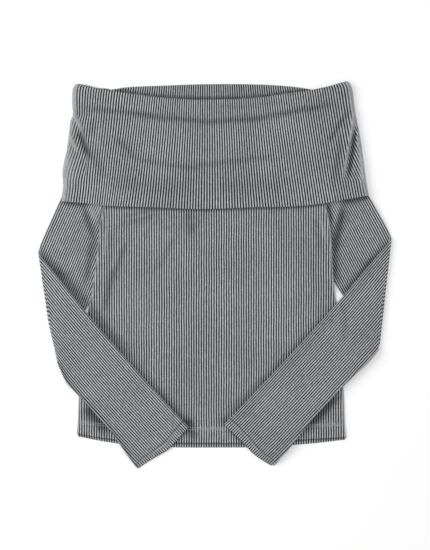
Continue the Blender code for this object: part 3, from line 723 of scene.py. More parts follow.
def panel(face, material, inset, base, levels):
    """A body panel from rows that run along its upper side and back along its underside."""
    shell = Shell()
    count = BODY_RIBS * SAMPLES
    keep = SAMPLES * 3
    last = None
    for level in levels:
        left = float(read(BODY_SIDES, "y", "left", level)) + inset
        right = float(read(BODY_SIDES, "y", "right", level)) - inset
        if inset > 0.0:
            left = max(left, float(read(TUCKS, "y", "left", level)) + 0.8)
            right = min(right, float(read(TUCKS, "y", "right", level)) - 0.8)
        from_hem = level - HEM_HEIGHT
        has_ribs = level <= RIBS_END
        for_top = np.arange(0, count + 1, 1 if has_ribs else keep)
        for_low = np.arange(0, count + 1, SAMPLES if has_ribs and face == "front" else keep)
        columns = np.concatenate([for_top, for_low[::-1]])
        under = np.concatenate([np.zeros(len(for_top)), np.ones(len(for_low))]) > 0.5
        x, free = crowd(mix(FIRST, LAST, columns / count), left, right, EDGE_CROWD)
        y = body_height(level, x, face)
        x = x + 0.3 * sway(x, y, 60.0, 11) * ease((free - 0.5) * 2.0) * ease(from_hem / 8.0)
        side = np.minimum(x - left, right - x)
        open_end = rounded(np.full(x.shape, min(from_hem, PANEL_TOP - level)))
        opening = rounded(side) * open_end
        thick = WALL + 0.6 * (1.0 - ease((from_hem - STITCH_ROWS["hem"][0]) / 3.0))
        sunk = [np.exp(-((from_hem - sewn) / 0.9) ** 2) for sewn in STITCH_ROWS["hem"]]
        stitch_line = 0.3 * sum(sunk)
        floor = base(level, x, y)
        swell = 0.0 * x
        if face == "front":
            # Creases and slow swells, the hem's lift, and the roll of the side edge
            swell = creases("front", x, y) + 0.5 + 0.4 * sway(x, y, 90.0, 7)
            swell = swell * (1.0 - cover(x, y)) * ease((102.0 - level) / 14.0)
            swell = swell + 0.9 * (1.0 - ease(from_hem / 9.0))
            edge_roll = 1.7 * np.exp(-(side / 6.0) ** 2) * ease((level + 40.0) / 30.0)
            swell = swell + edge_roll * (level < RIBS_END)
            # Painted light: a highlight along the side edge, painted shadow under the collar's edge
            # and along the hem's edge, and a pale line 20 mm above the hem
            pull = creases("front", x, y, "pull") + 0.42 * np.exp(-(side / 2.6) ** 2)
            pull = pull - 0.85 * np.exp(-((level - 102.4) / 2.3) ** 2) * (level < 112.0)
            pull = pull - 1.2 * (1.0 - ease((from_hem - 0.5) / 1.4))
            pull = pull + 0.3 * np.exp(-((from_hem - 20.0) / 2.4) ** 2)
        else:
            # Painted shadow: a dark band on the back's strip just below the front's hem
            below_front = read(HEMS, "x", "front", x) - y
            pull = -1.1 * np.exp(-(below_front / 1.1) ** 2) * (from_hem < 12.0)
        ribbed = ease((free - 0.3) / 0.6) * ease((111.0 - level) / 3.0)
        depth = RIB_DEPTH * (1.0 - rib_profile(columns / SAMPLES)) * ribbed
        top = floor + swell + thick - depth - stitch_line
        low = floor + swell + (2.0 * stitch_line if face == "back" else 0.0)
        middle = floor + swell + WALL / 2.0
        roll = -0.75 * (1.0 - ease(side / 4.5)) * (0.0 if inset else 1.0)
        roll = roll * ease((60.0 - level) / 20.0)
        z = middle + (np.where(under, low, top) - middle) * opening + roll
        at = np.where(under, 1.0 - 0.499 * columns / count, 0.5 * columns / count)
        row = shell.row(at, x, y, z, columns / SAMPLES, y, pull)
        if any(abs(from_hem - sewn) < 0.01 for sewn in STITCH_ROWS["hem"]):
            shown = under == (face == "back")
            SEWN[face].append(np.stack([x[shown], y[shown], z[shown]], axis=1))
        closed = {"at": np.append(row["at"], 1.0001),
                  "index": np.append(row["index"], row["index"][0])}
        if last is None:
            shell.cap(row, 0.5)
        else:
            shell.join(last, closed)
        last = closed
    shell.cap(row, 0.5)
    return shell.finish(face + "_knit", material, face)


def spread(start, end, step):
    """Evenly spaced levels, the end left out."""
    return list(np.linspace(start, end, max(2, int(round((end - start) / step))), endpoint=False))


hem_levels = [-245.0, -244.9, -244.7, -244.4, -244.0, -243.4, -242.6, -241.0, -240.0, -239.4]
hem_levels += [-238.8, -238.2, -237.4, -234.0, -229.0, -227.4, -226.5, -225.6, -225.0, -224.4]
hem_levels += [-223.5, -222.6, -221.4]
levels = hem_levels + spread(-219.0, 78.0, 3.8) + spread(78.0, 112.0, 1.9)
top_levels = [112.0, 118.0, 150.0, 200.0, 233.8, 234.4, PANEL_TOP]
levels += top_levels
print(len(levels), "rows on the front")


def front_base(level, x, y):
    return LAYER + settle(level) + lift(x, y)


def back_base(level, x, y):
    return settle(level) + 0.0 * x


front = panel("front", knit_front, 0.0, front_base, levels)

# %% [markdown]
# The back shows only as a narrow strip under the front's hem and from below, where it lies pressed
# flat on the table. Its upper side carries ribs up to the collar, and its underside is flat.

# %% Back panel
back_levels = hem_levels + [-215.0, -205.0] + spread(-195.0, 78.0, 9.0) + spread(78.0, 112.0, 4.0)
back_levels += top_levels
back = panel("back", knit_back, 1.2, back_base, back_levels)

# %% [markdown]
# ## The fold-over collar
#
# The collar is one deep band. It starts at the seam inside, rises to the fold along the top, and
# hangs down outside as a flap, 165 mm deep in front and 185 mm behind. In section it is a hook.
# Each row below is one loop round the whole neck: along the front, round the right side, back
# along the back and round the left side. The rows then travel along the hook: up the flap, over
# the fold, down to the seam, and back up inside. Only the faces that light reaches carry ribs.

# %% Collar helpers
FLAP_OUT, FLAP_IN, STAND_OUT, STAND_IN, COLLAR_MID = 3.45, 1.95, 1.65, 0.15, 3.45
FAN = table("u lean", [
    (0, 0),
    (0.08, 0.5),
    (0.22, 6),
    (0.5, 1.5),
    (0.75, -2.5),
    (0.9, -1.5),
    (1, 0),
])


def patch(u, v, rise, face):
    """Flat shape of the collar: u from left to right, v from the free edge to the fold."""
    left_low, right_low = COLLAR_LEFT[0]["y"] + rise, COLLAR_RIGHT[0]["y"] + rise
    left_y = mix(left_low, COLLAR_LEFT[-1]["y"], v)
    right_y = mix(right_low, COLLAR_RIGHT[-1]["y"], v)
    u = u + read(FAN, "u", "lean", u) * (2.0 * v - 1.0) / COLLAR_SPAN
    low_left, low_right = COLLAR_LEFT[0]["x"] + FLAP_OUT, COLLAR_RIGHT[0]["x"] - FLAP_OUT
    high_left = COLLAR_LEFT[-1]["x"] + FLAP_OUT
    high_right = COLLAR_RIGHT[-1]["x"] - FLAP_OUT
    low_x, high_x = mix(low_left, low_right, u), mix(high_left, high_right, u)
    left_bump = read(COLLAR_LEFT, "y", "x", left_y) + FLAP_OUT - mix(low_left, high_left, v)
    right_bump = read(COLLAR_RIGHT, "y", "x", right_y) - FLAP_OUT - mix(low_right, high_right, v)
    bumps = left_bump * np.exp(-u * COLLAR_SPAN / 16.0)
    bumps = bumps + right_bump * np.exp(-(1.0 - u) * COLLAR_SPAN / 16.0)
    low_y = read(COLLAR_LOW, "x", "y", low_x) + rise - mix(left_low, right_low, u)
    high_y = read(FOLDS, "x", face, high_x) - mix(COLLAR_LEFT[-1]["y"], COLLAR_RIGHT[-1]["y"], u)
    return mix(low_x, high_x, v) + bumps, mix(left_y, right_y, u) + mix(low_y, high_y, v)


def collar_flat(row, u, face):
    """Flat place of a profile row, on the front or on the back."""
    rise = 0.0 if face == "front" else 2.0
    flap_low, fold_high = 113.0, 288.0
    x, y = patch(u, 1.0, rise, face)
    y = y - STAND_OUT
    if "drop" in row:
        lower = mix(y, COLLAR_SEAM, row["drop"])
        share = (COLLAR_SEAM - flap_low) / (fold_high - flap_low)
        return mix(x, patch(u, share, rise, face)[0], row["drop"]), lower
    if row["v"] == 1.0:
        return x, y
    return patch(u, row["v"], rise, face)


def collar_places(front_step, back_step):
    """Places round the band, with more points where ribs show."""
    count = COLLAR_RIBS * SAMPLES
    front_c, back_c = np.arange(0, count + 1, front_step), np.arange(0, count + 1, back_step)
    angles = np.array([30.0, 60.0, 90.0, 120.0, 150.0])
    at = np.concatenate([0.47 * front_c / count, 0.47 + 0.03 * angles / 180.0,
                         0.5 + 0.47 * back_c / count, 0.97 + 0.03 * angles / 180.0, [1.0]])
    u = np.concatenate([front_c / count, np.ones(5), 1.0 - back_c / count, np.zeros(5), [0.0]])
    turn = np.concatenate([0.0 * front_c, angles, 180.0 + 0.0 * back_c, 180.0 - angles, [0.0]])
    rib = np.concatenate([front_c / SAMPLES, COLLAR_RIBS + angles / 60.0,
                          COLLAR_RIBS + 3 + back_c / SAMPLES, 2 * COLLAR_RIBS + 3 + angles / 60.0,
                          [2 * COLLAR_RIBS + 6.0]])
    where = np.concatenate([0.0 * front_c, np.full(5, 1.0), 2.0 + 0.0 * back_c,
                            np.full(5, 1.0), [0.0]])
    return at, u, np.radians(turn), rib, where


# %% [markdown]
# The ribs of the collar spread a little towards the free edge, since the flap lies over shoulders
# that are wider than the neck. They sway with the creases at both sides.

# %% Collar maker
def collar_rows():
    """The hook-shaped section as rows, each with its place and which faces carry ribs."""
    rows = []
    keep = SAMPLES * 4
    flap = [0.0, 0.0008, 0.0022, 0.0045] + list(np.linspace(0.012, 0.985, 68)) + [0.995, 1.0]
    for v in flap:
        rows.append({"v": v, "out": FLAP_OUT, "kind": "flap", "steps": (1, keep)})
    for angle in (15.0, 30.0, 45.0, 60.0, 75.0, 90.0):
        turn = math.radians(angle)
        rows.append({"v": 1.0, "rise": math.sin(turn), "out": math.cos(turn), "kind": "fold",
                     "steps": (1, 1 if angle > 50.0 else keep)})
    for angle in (110.0, 130.0, 150.0, 170.0):
        turn = math.radians(angle)
        rows.append({"v": 1.0, "rise": math.sin(turn), "out": math.cos(turn), "kind": "fold",
                     "steps": (keep, 1)})
    for drop in (0.0, 0.08, 0.16, 0.24, 0.32, 0.4, 0.48, 0.56, 0.64):
        rows.append({"drop": drop, "out": STAND_IN, "kind": "neck", "steps": (keep, 1)})
    seam_turn = ((0.72, STAND_IN), (0.98, STAND_IN), (1.0, 0.5), (1.0, 1.3), (0.98, STAND_OUT))
    for drop, out in seam_turn:
        rows.append({"drop": drop, "out": out, "kind": "plain", "steps": (keep, keep)})
    rows.append({"v": 1.0, "out": STAND_OUT, "kind": "plain", "steps": (keep, keep)})
    for v in [1.0] + list(np.linspace(0.97, 0.012, 36)) + [0.0045, 0.0022, 0.0008, 0.0]:
        rows.append({"v": v, "out": FLAP_IN, "kind": "under", "steps": (3, keep)})
    return rows


GATHERS = {
    "left": {"lean": 0.14, "crest": table("y x", [
        (245, -212.5), (209, -195.5), (176, -190), (140, -194)])},
    "right": {"lean": 0.3, "crest": table("y x", [
        (240, 209.5), (198, 202), (176, 197.5), (140, 190)])},
}


def gathered(x, y, u, where):
    """Ribs that each side crease has swallowed: beyond its crest they slant outwards."""
    total = np.zeros(x.shape)
    for side, sign in (("left", -1.0), ("right", 1.0)):
        rows = GATHERS[side]["crest"]
        crest = read(rows, "y", "x", y)
        beyond = ease(((x - crest) * sign + 1.5) / 4.5)
        climb = np.maximum(np.minimum(y, 245.0) - rows[-1]["y"], 0.0)
        half = np.where(where == 2.0, u if side == "right" else 1.0 - u, 1.0)
        total = total + sign * beyond * climb * GATHERS[side]["lean"] / 3.75 * half
    return total


def make_collar(material):
    shell = Shell()
    first, last = None, None
    for row in collar_rows():
        at, u, turn, rib, where = collar_places(*row["steps"])
        near_x, near_y = collar_flat(row, u, "front")
        far_x, far_y = collar_flat(row, u, "back")
        share = (1.0 - np.cos(turn)) / 2.0
        x, y = mix(near_x, far_x, share), mix(near_y, far_y, share)
        kind = row["kind"]
        shows = {"flap": where == 0.0, "fold": where != 1.0, "neck": where == 2.0}
        ribbed = np.where(shows.get(kind, where < -1.0), 1.0, 0.0)
        if row["steps"][0] > 1:
            ribbed = np.where(where == 0.0, 0.0, ribbed)
        if row["steps"][1] > 1:
            ribbed = np.where(where == 2.0, 0.0, ribbed)
        rib = rib + gathered(x, y, u, where)
        depth = RIB_DEPTH * (1.0 - rib_profile(rib)) * ribbed
        out = np.full(at.shape, row["out"])
        if kind == "fold":
            radius = HALF_TUBE - depth
            out = LAYER + radius * row["out"]
            y = y + radius * row["rise"]
        elif kind == "flap":
            out = out - depth
        elif kind == "neck":
            out = out + depth
        v = row.get("v", 1.0)
        from_edge, from_fold = v * FLAP_DEPTH, (1.0 - v) * FLAP_DEPTH
        if kind in ("flap", "under"):
            flap_middle = (FLAP_OUT + FLAP_IN) / 2.0
            out = flap_middle + (out - flap_middle) * rounded(np.full(at.shape, from_edge))
        away = ease((1.0 - v) / 0.05) if kind in ("flap", "under") else 0.0
        from_side = np.minimum(u, 1.0 - u) * COLLAR_SPAN
        over_sleeve = ease((np.abs(x) - 165.0) / 12.0)
        loft = 0.9 + 0.6 * sway(x, y, 85.0, 5) + 1.2 * np.exp(-(from_side / 34.0) ** 2)
        loft = loft + 1.6 * np.exp(-((from_fold - 9.0) / 8.0) ** 2)
        swell = np.maximum(creases("collar", x, y) + loft, 0.0) * away
        if kind in ("flap", "under"):
            swell = swell + 1.1 * np.exp(-(from_edge / 7.0) ** 2)
            swell = swell + 2.0 * over_sleeve * np.exp(-(from_edge / 20.0) ** 2)
            swell = swell + LAYER * (1.0 - away)
        elif kind == "fold":
            swell = swell + 0.9 * (1.0 + row["out"])
        bulge = 1.3 * np.exp(-(from_side / 6.0) ** 2) * away
        swell = np.where(where == 0.0, swell + bulge, bulge * (1.0 + np.cos(turn)) / 2.0)
        x = x + 0.25 * sway(x, y, 70.0, 23) * np.where(where == 1.0, 0.0, 1.0)
        # Painted light on the collar: crease highlights and shade on the flap, and a painted
        # highlight along both side edges
        pull = creases("collar", x, y, "pull") if kind == "flap" else 0.0
        painted_side_highlight = np.where(u > 0.5, 0.75, 0.3 + 0.5 * ease((v - 0.76) / 0.06))
        pull = np.where(where == 2.0, 0.0, pull + painted_side_highlight * np.exp(-(from_side / 3.2) ** 2))
        # Painted shadow on the inner neck just below the front's fold, and the inner neck a little
        # darker overall
        if kind == "neck":
            above = y - read(FOLDS, "x", "front", x)
            pull = np.where(where == 2.0, -0.16 - 1.1 * np.exp(-(above / 3.4) ** 2), pull)
        side = np.where(u > 0.5, 1.0, -1.0)
        x = x + side * out * np.sin(turn)
        z = COLLAR_MID + out * np.cos(turn) + swell
        here = shell.row(at, x, y, z, rib, y, pull)
        if last is not None:
            shell.join(last, here)
        else:
            first = here
        last = here
    shell.join(last, first)
    return shell.finish("collar_knit", material, "collar")


collar = make_collar(knit_collar)

# %% [markdown]
# ## The sleeves
#
# A sleeve is a long tapered tube that has been pressed flat and folded over once. It is easiest to
# draw it flat and straight first, then roll that drawing round the fold line: points past the line
# go round a tight bend and come back face down on top. Ribs stay parallel through the fold, which
# is why they meet along it like a herringbone. Past the hem of the body the forearm has nothing
# under it, so it sinks to the table.

# %% Sleeve helpers
BEND_RADIUS = 1.8


def axes(s):
    """Directions in the sleeve's own frame, where it lies on the left."""
    upper, fold = math.radians(s["upper"]), math.radians(s["fold"])
    return {"up": (math.sin(upper), math.cos(upper)), "across": (math.cos(upper), -math.sin(upper)),
            "fold": (math.sin(fold), -math.cos(fold)), "out": (-math.cos(fold), -math.sin(fold))}


def flat_point(s, f, along, width):
    x = -abs(s["x"]) + f["up"][0] * along + f["across"][0] * width
    y = s["y"] + f["up"][1] * along + f["across"][1] * width
    return x, y


def tuck_width(s, f, along, slant, side):
    """Width at which a row of the upper sleeve reaches its inner edge, found by halving."""
    low, high = 20.0, 160.0
    for step in range(40):
        width = (low + high) / 2.0
        x, y = flat_point(s, f, along - slant * width, width)
        if x > -abs(float(read(TUCKS, "y", side, y))):
            high = width
        else:
            low = width
    return low


def fold_over(s, f, x, y, height):
    """Roll the flat sleeve round its fold line; height is from the middle of the tube."""
    reach = HALF_TUBE + BEND_RADIUS
    ax, ay = -abs(s["x"]) - f["out"][0] * reach, s["y"] - f["out"][1] * reach
    past = (x - ax) * f["out"][0] + (y - ay) * f["out"][1]
    slide = (x - ax) * f["fold"][0] + (y - ay) * f["fold"][1]
    arc = math.pi * BEND_RADIUS
    turn = np.clip(past / BEND_RADIUS, 0.0, math.pi)
    away = np.where(past <= 0.0, past, (BEND_RADIUS - height) * np.sin(turn))
    away = np.where(past >= arc, arc - past, away)
    drawn = s["draw"] * ease((slide - 95.0) / 85.0) * np.exp((away - BEND_RADIUS) / 14.0)
    away = away - drawn
    z = HALF_TUBE + BEND_RADIUS - (BEND_RADIUS - height) * np.cos(turn)
    x = ax + f["fold"][0] * slide + f["out"][0] * away
    y = ay + f["fold"][1] * slide + f["out"][1] * away
    return x, y, z


# %% [markdown]
# Each row of the sleeve is a loop round the flattened tube. Its slant changes from level at the
# collar, to parallel with the fold, to square at the cuff, so that the bend is always crossed by
# rows that run along it.

# %% Sleeve rows
def sleeve_rows(s, f, side):
    """Rows from the collar to the cuff: place, slant, width, and what each carries."""
    angle = math.radians(s["upper"] + s["fold"])
    fold_slant = 1.0 / math.tan(angle)
    edge = math.atan(s["edge_slope"])
    level = math.cos(edge) * f["up"][0] + math.sin(edge) * f["up"][1]
    edge_slant = -level / (math.cos(edge) * f["across"][0] + math.sin(edge) * f["across"][1])
    rows = []
    for below in np.linspace(-6.0, 28.0, 16):
        along = (s["collar_y"] - below - s["y"]) / f["up"][1]
        raised = LAYER * float(ease((22.0 - below) / 20.0))
        rows.append({"along": along, "slant": edge_slant, "raised": raised, "zone": "upper"})
    start = (s["collar_y"] - 28.0 - s["y"]) / f["up"][1]
    end = (HALF_TUBE + BEND_RADIUS) / math.sin(angle)
    for t in np.linspace(0.03, 0.97, 30):
        rows.append({"along": mix(start, end, t), "slant": mix(edge_slant, fold_slant, t),
                     "raised": 0.0, "zone": "upper"})
    arc = math.pi * BEND_RADIUS / math.sin(angle)
    for t in np.linspace(0.0, 1.0, 13):
        rows.append({"along": end - arc * t, "slant": fold_slant, "raised": 0.0, "zone": "fold",
                     "turn": t})
    run = end - arc + s["fore"]
    cuff = [1.0 - d / run for d in (15.0, 14.0, 13.4, 12.9, 12.4, 11.8, 11.3, 10.7, 10.1, 9.6, 9.1,
                                    8.4, 7.4, 5.4, 3.0, 1.8, 1.2, 0.7, 0.35, 0.12, 0.0)]
    for t in list(np.linspace(0.008, cuff[0] - 0.008, 74)) + cuff:
        rows.append({"along": mix(end - arc, -s["fore"], t),
                     "slant": mix(fold_slant, s["cuff_slant"], t), "raised": 0.0, "zone": "fore",
                     "t": t, "from_cuff": (1.0 - t) * run})
    for row in rows:
        row["belly"], row["bulge"] = 0.0, 0.0
        if row["zone"] == "upper":
            row["width"] = tuck_width(s, f, row["along"], row["slant"], side)
            row["bulge"] = 1.2
            row["belly"] = s["belly"] * (0.8 + 0.2 * float(ease(row["along"] / 15.0)))
            if row["along"] < start:
                near = 1.0 - (row["along"] - end) / (start - end)
                row["width"] -= s["round"] * float(ease((near - 0.75) / 0.25))
        else:
            t = row.get("t", 0.0)
            middle = float(ease(t / 0.4) if t < 0.5 else ease((1.0 - t) / 0.45))
            plain = mix(s["fold_width"], s["cuff_width"], t)
            row["width"] = mix(plain, s["middle_width"], middle)
            row["width"] -= s["round"] * (1.0 - float(ease(t / s["round_run"])))
            if row["zone"] == "fore":
                row["width"] -= s["waist"] * math.exp(-((row["from_cuff"] - 26.0) / 14.0) ** 2)
            if row["zone"] == "fold":
                row["belly"] = s["belly"] * 0.8 * (1.0 - row["turn"])
            row["bulge"] = 2.4 * float(ease((1.0 - t) / 0.03)) if row["zone"] == "fore" else 0.0
    return rows


def tube_places(step_front, step_back, count):
    """Places round the flattened tube: upper ply, inner turn, under ply, outer turn."""
    front_c = np.arange(0, count + 1, step_front)
    back_c = np.arange(0, count + 1, step_back)
    angles = np.array([67.0, 45.0, 22.0, 0.0, -22.0, -45.0, -67.0])
    at = np.concatenate([0.45 * front_c / count, 0.475 - 0.025 * angles / 90.0,
                         0.5 + 0.45 * back_c / count, 0.975 - 0.025 * angles / 90.0, [1.0]])
    s = np.concatenate([front_c / count, np.ones(7), 1.0 - back_c / count, np.zeros(7), [0.0]])
    turn = np.concatenate([90.0 + 0.0 * front_c, angles, -90.0 + 0.0 * back_c, -angles, [90.0]])
    rib = np.concatenate([front_c / SAMPLES, SLEEVE_RIBS + (90.0 - angles) / 90.0,
                          SLEEVE_RIBS + 2 + back_c / SAMPLES,
                          2 * SLEEVE_RIBS + 2 + (90.0 - angles) / 90.0, [2 * SLEEVE_RIBS + 4.0]])
    ply = np.concatenate([0.0 * front_c, np.full(7, 1.0), 2.0 + 0.0 * back_c,
                          np.full(7, 3.0), [0.0]])
    return at, s, np.radians(turn), rib, ply


# %% [markdown]
# The upper ply carries ribs down to the fold. Past the fold the tube lies face down, so there the
# under ply is the one that shows, and it takes over the ribs. The cuff is turned up 12 mm.

# %% Sleeve maker
def sleeve_row(shell, s, f, side, row, outer):
    """One loop of the sleeve's outer or inner skin."""
    count = SLEEVE_RIBS * SAMPLES
    upper_shows = row["zone"] == "upper" or (row["zone"] == "fold" and row["turn"] < 0.05)
    under_shows = row["zone"] == "fore" or (row["zone"] == "fold" and row["turn"] > 0.3)
    upper_step = 1 if outer and upper_shows else SAMPLES
    under_step = 1 if outer and under_shows else SAMPLES
    at, share, turn, rib, ply = tube_places(upper_step, under_step, count)
    radius = HALF_TUBE if outer else HALF_SLIT
    full = SLEEVE_RIBS * SLEEVE_PITCH
    inner_edge = row["width"] - HALF_TUBE
    narrowed = 1.0 - 0.065 * float(ease(row["along"] / 60.0))
    raw = mix(HALF_TUBE, full, share) * narrowed
    limit = inner_edge - EDGE_CROWD
    squeeze = EDGE_CROWD / (full - limit) if full > limit else 1.0
    width = np.where(raw > limit, inner_edge - (full - raw) * squeeze, raw)
    cut = (raw - width) * SLEEVE_RIBS / (full * narrowed)
    rib = rib + np.where(turn >= 0.0, -cut, cut)
    width = width - row["belly"] * (1.0 - raw / full) ** 1.5
    bulge = row["bulge"] * (np.exp(-(raw / 8.0) ** 2) + np.exp(-((full - raw) / 8.0) ** 2))
    ribbed = np.zeros(at.shape)
    if outer and upper_shows:
        ribbed = np.where(ply == 0.0, 1.0, ribbed)
    if outer and under_shows:
        ribbed = np.where(ply == 2.0, 1.0, ribbed)
    depth = RIB_DEPTH * (1.0 - rib_profile(rib)) * ribbed
    if "from_cuff" in row:
        gap = row["from_cuff"]
        sunk = [math.exp(-((gap - sewn) / 0.6) ** 2) for sewn in STITCH_ROWS["cuff"]]
        line = 0.28 * sum(sunk)
        depth = depth + np.where(ply == 2.0, line, 0.0) * (1.0 if outer else 0.0)
        wall_middle = (HALF_TUBE + HALF_SLIT) / 2.0
        radius = wall_middle + (radius - wall_middle) * float(rounded(gap))
    outwards = np.where(ply == 1.0, 1.0, np.where(ply == 3.0, -1.0, 0.0))
    width = width + outwards * radius * np.cos(turn)
    along = row["along"] - row["slant"] * width
    if row["zone"] == "fore":
        along = along - read(CUFF_ENDS, "share", side, share) * ease(1.0 - row["from_cuff"] / 55.0)
        peep = 1.3 * 4.0 * share * (1.0 - share) * ease(1.0 - row["from_cuff"] / 12.0)
        along = along - np.where(ply == 0.0, peep, 0.0)
    x, y = flat_point(s, f, along, width)
    calm = np.where((ply == 0.0) | (ply == 2.0), 1.0, 0.0)
    x = x + 0.22 * sway(x * 1.5, y, 40.0, 31 if side == "left" else 37) * calm
    height = (radius - depth) * np.sin(turn)
    x, y, z = fold_over(s, f, x, y, height)
    if row["zone"] == "fore":
        slope = math.radians(s["upper"] + 2.0 * s["fold"])
        run = (math.sin(slope), -math.cos(slope))
        t = np.clip(((x + abs(s["x"])) * run[0] + (y - s["y"]) * run[1]) / s["fore"], 0.0, 1.0)
        shift = s["bow"] * 4.0 * t * (1.0 - t) * ease(t / 0.3)
        x, y = x + run[1] * shift, y - run[0] * shift
        z = z - 2.0 * LAYER * ease((-y - 257.0) / 30.0)
    sign = 1.0 if side == "left" else -1.0
    pull = 0.0 * x
    if row["zone"] == "fore":
        swell = creases(side + "_fore", sign * x, y) + 0.3 * (1.0 + sway(x, y, 60.0, 41))
        z = z + swell * ease(row["t"] / 0.08) * ease(row["from_cuff"] / 30.0)
        z = z + bulge * (1.0 - np.sin(turn)) * ease(row["t"] / 0.05)
        # Painted light on the forearm: crease shading, painted shade along the turned-up cuff's
        # edge, and painted shadow on the ply that shows at the cuff's end
        pull = creases(side + "_fore", sign * x, y, "pull")
        pull = pull - 0.9 * math.exp(-((row["from_cuff"] - 13.0) / 0.9) ** 2)
        pull = np.where((ply == 0.0) & (row["from_cuff"] < 8.0), -1.0, pull)
    if row["zone"] == "upper":
        clear = ease((row["along"] - 14.0) / 16.0) * ease((s["collar_y"] - y) / 16.0)
        body_gap = -abs(read(BODY_SIDES, "y", side, y)) - x
        on_top = np.where(np.sin(turn) > 0.2, 1.0, 0.0)
        z = z + creases(side, sign * x, y) * clear * ease(body_gap / 7.0) * on_top
        z = z + bulge * (1.0 + np.sin(turn)) * clear * ease(body_gap / 7.0)
        # Painted light on the upper sleeve's top ply: shadows along the forearm's and the collar's
        # edges, highlights on crests
        pull = creases(side, sign * x, y, "pull")
        pull = pull * np.where(ply == 0.0, 1.0, 0.0)
    z = z + row["raised"]
    from_cuff = row.get("from_cuff", math.inf)
    if outer and any(abs(from_cuff - sewn) < 0.01 for sewn in STITCH_ROWS["cuff"]):
        shown = ply == 2.0
        SEWN[side].append(np.stack([(sign * x)[shown], y[shown], z[shown]], axis=1))
    return shell.row(at, sign * x, y, z, rib, along, pull)


def top_row(shell, side, outer):
    """The sleeve's open top: along the collar seam, then down the seam to the body."""
    count = SLEEVE_RIBS * SAMPLES
    step = count // 6
    at, share, turn, rib, ply = tube_places(step, step, count)
    radius = HALF_TUBE if outer else HALF_SLIT
    body = abs(BODY_SIDES[-1][side])
    table = COLLAR_LEFT if side == "left" else COLLAR_RIGHT
    outside = -abs(float(read(table, "y", "x", COLLAR_SEAM))) + 3.0 + HALF_TUBE
    seam = COLLAR_SEAM - 0.3
    corner = -body - 0.6 - HALF_TUBE
    under = -abs(float(read(TUCKS, "y", side, 118.0))) - HALF_TUBE
    along_seam = share < 0.5
    y = np.where(along_seam, seam, mix(seam, 127.0, share * 2.0 - 1.0))
    down_side = mix(corner, under, (seam - y) / (seam - 118.0))
    x = np.where(along_seam, mix(outside, corner, share * 2.0), down_side)
    outwards = np.where(ply == 1.0, 1.0, np.where(ply == 3.0, -1.0, 0.0))
    x = x + outwards * radius * np.cos(turn)
    z = HALF_TUBE + LAYER + radius * np.sin(turn)
    sign = 1.0 if side == "left" else -1.0
    return shell.row(at, sign * x, y, z, rib, y)


def make_sleeve(side, material):
    s = SLEEVES[side]
    f = axes(s)
    shell = Shell()
    ends = []
    for outer in (True, False):
        last = top_row(shell, side, outer)
        ends.append([last])
        for row in sleeve_rows(s, f, side):
            here = sleeve_row(shell, s, f, side, row, outer)
            shell.join(last, here)
            last = here
        ends[-1].append(last)
    shell.join(ends[0][0], ends[1][0])
    shell.join(ends[0][1], ends[1][1])
    return shell.finish("sleeve_%s_knit" % side, material, "sleeve_" + side)


sleeve_left = make_sleeve("left", knit_left)
sleeve_right = make_sleeve("right", knit_right)

# %% [markdown]
# ## The sewing thread
#
# A coverstitch machine holds the turned-up hem and cuffs: on the outside it leaves two parallel
# rows of short straight stitches, 3.2 mm apart, in matt polyester thread 0.7 mm thick. A
# texture would do from far away, but real stitches catch light and keep their size. One stitch is
# modelled, a six-sided rod whose ends dip into the knit, and then it is copied along the
# places that each hem row left behind. The thread bridges the grooves, so every copy lies at the
# height of the highest rib near it.

# %% Thread
def matt_thread():
    """Spun polyester thread: a twist every 1.8 mm, coarser than the real 0.4 mm so it shows."""
    material, tree = empty_material("spun_polyester_thread")
    place = add(tree, "ShaderNodeTexCoord").outputs["Object"]
    wave = add(tree, "ShaderNodeTexWave", {"bands_direction": "DIAGONAL"},
               Vector=place, Scale=350.0).outputs[0]
    colour = ramp(tree, wave, [(0.0, "#808487"), (1.0, "#ABAFB1")])
    bump = add(tree, "ShaderNodeBump", Strength=0.4, Distance=0.0001, Height=wave).outputs[0]
    shader = add(tree, "ShaderNodeBsdfPrincipled", **{
        "Base Color": colour, "Roughness": 0.7, "Normal": bump, "Sheen Weight": 0.1})
    add(tree, "ShaderNodeOutputMaterial", Surface=shader.outputs[0])
    print("material", material.name)
    return material


thread = matt_thread()

# %% One stitch
def pick_end(mesh, sign):
    """Select only the end face on one side, in edit mode."""
    work = bmesh.from_edit_mesh(mesh)
    for face in work.faces:
        face.select_set(abs(face.normal.x) > 0.9 and face.calc_center_median().x * sign > 0.0)
    work.select_flush_mode()
    bmesh.update_edit_mesh(mesh)


def one_stitch():
    """A stitch 2.6 mm long, lying along x, with both ends dipping."""
    dip = -0.00024
    bpy.ops.object.select_all(action="DESELECT")
    bpy.ops.mesh.primitive_cylinder_add(vertices=6, radius=0.00034, depth=0.0014,
                                        rotation=(0.0, math.pi / 2.0, 0.0))
    stitch = bpy.context.active_object
    bpy.ops.object.transform_apply(rotation=True)
    bpy.ops.object.mode_set(mode="EDIT")
    bpy.ops.mesh.select_mode(type="FACE")
    for sign in (1.0, -1.0):
        bpy.ops.mesh.select_all(action="DESELECT")
        pick_end(stitch.data, sign)
        move = {"value": (0.0006 * sign, 0.0, dip)}
        bpy.ops.mesh.extrude_region_move(TRANSFORM_OT_translate=move)
        bpy.ops.transform.resize(value=(1.0, 0.55, 0.55),
                                 center_override=(0.0013 * sign, 0.0, dip))
    bpy.ops.object.mode_set(mode="OBJECT")
    stitch.data.shade_smooth()
    stitch.data.materials.append(thread)
    size = [round(v / MM, 2) for v in stitch.dimensions]
    print("one stitch has", len(stitch.data.polygons), "faces,", size, "mm")
    return stitch


stitch = one_stitch()

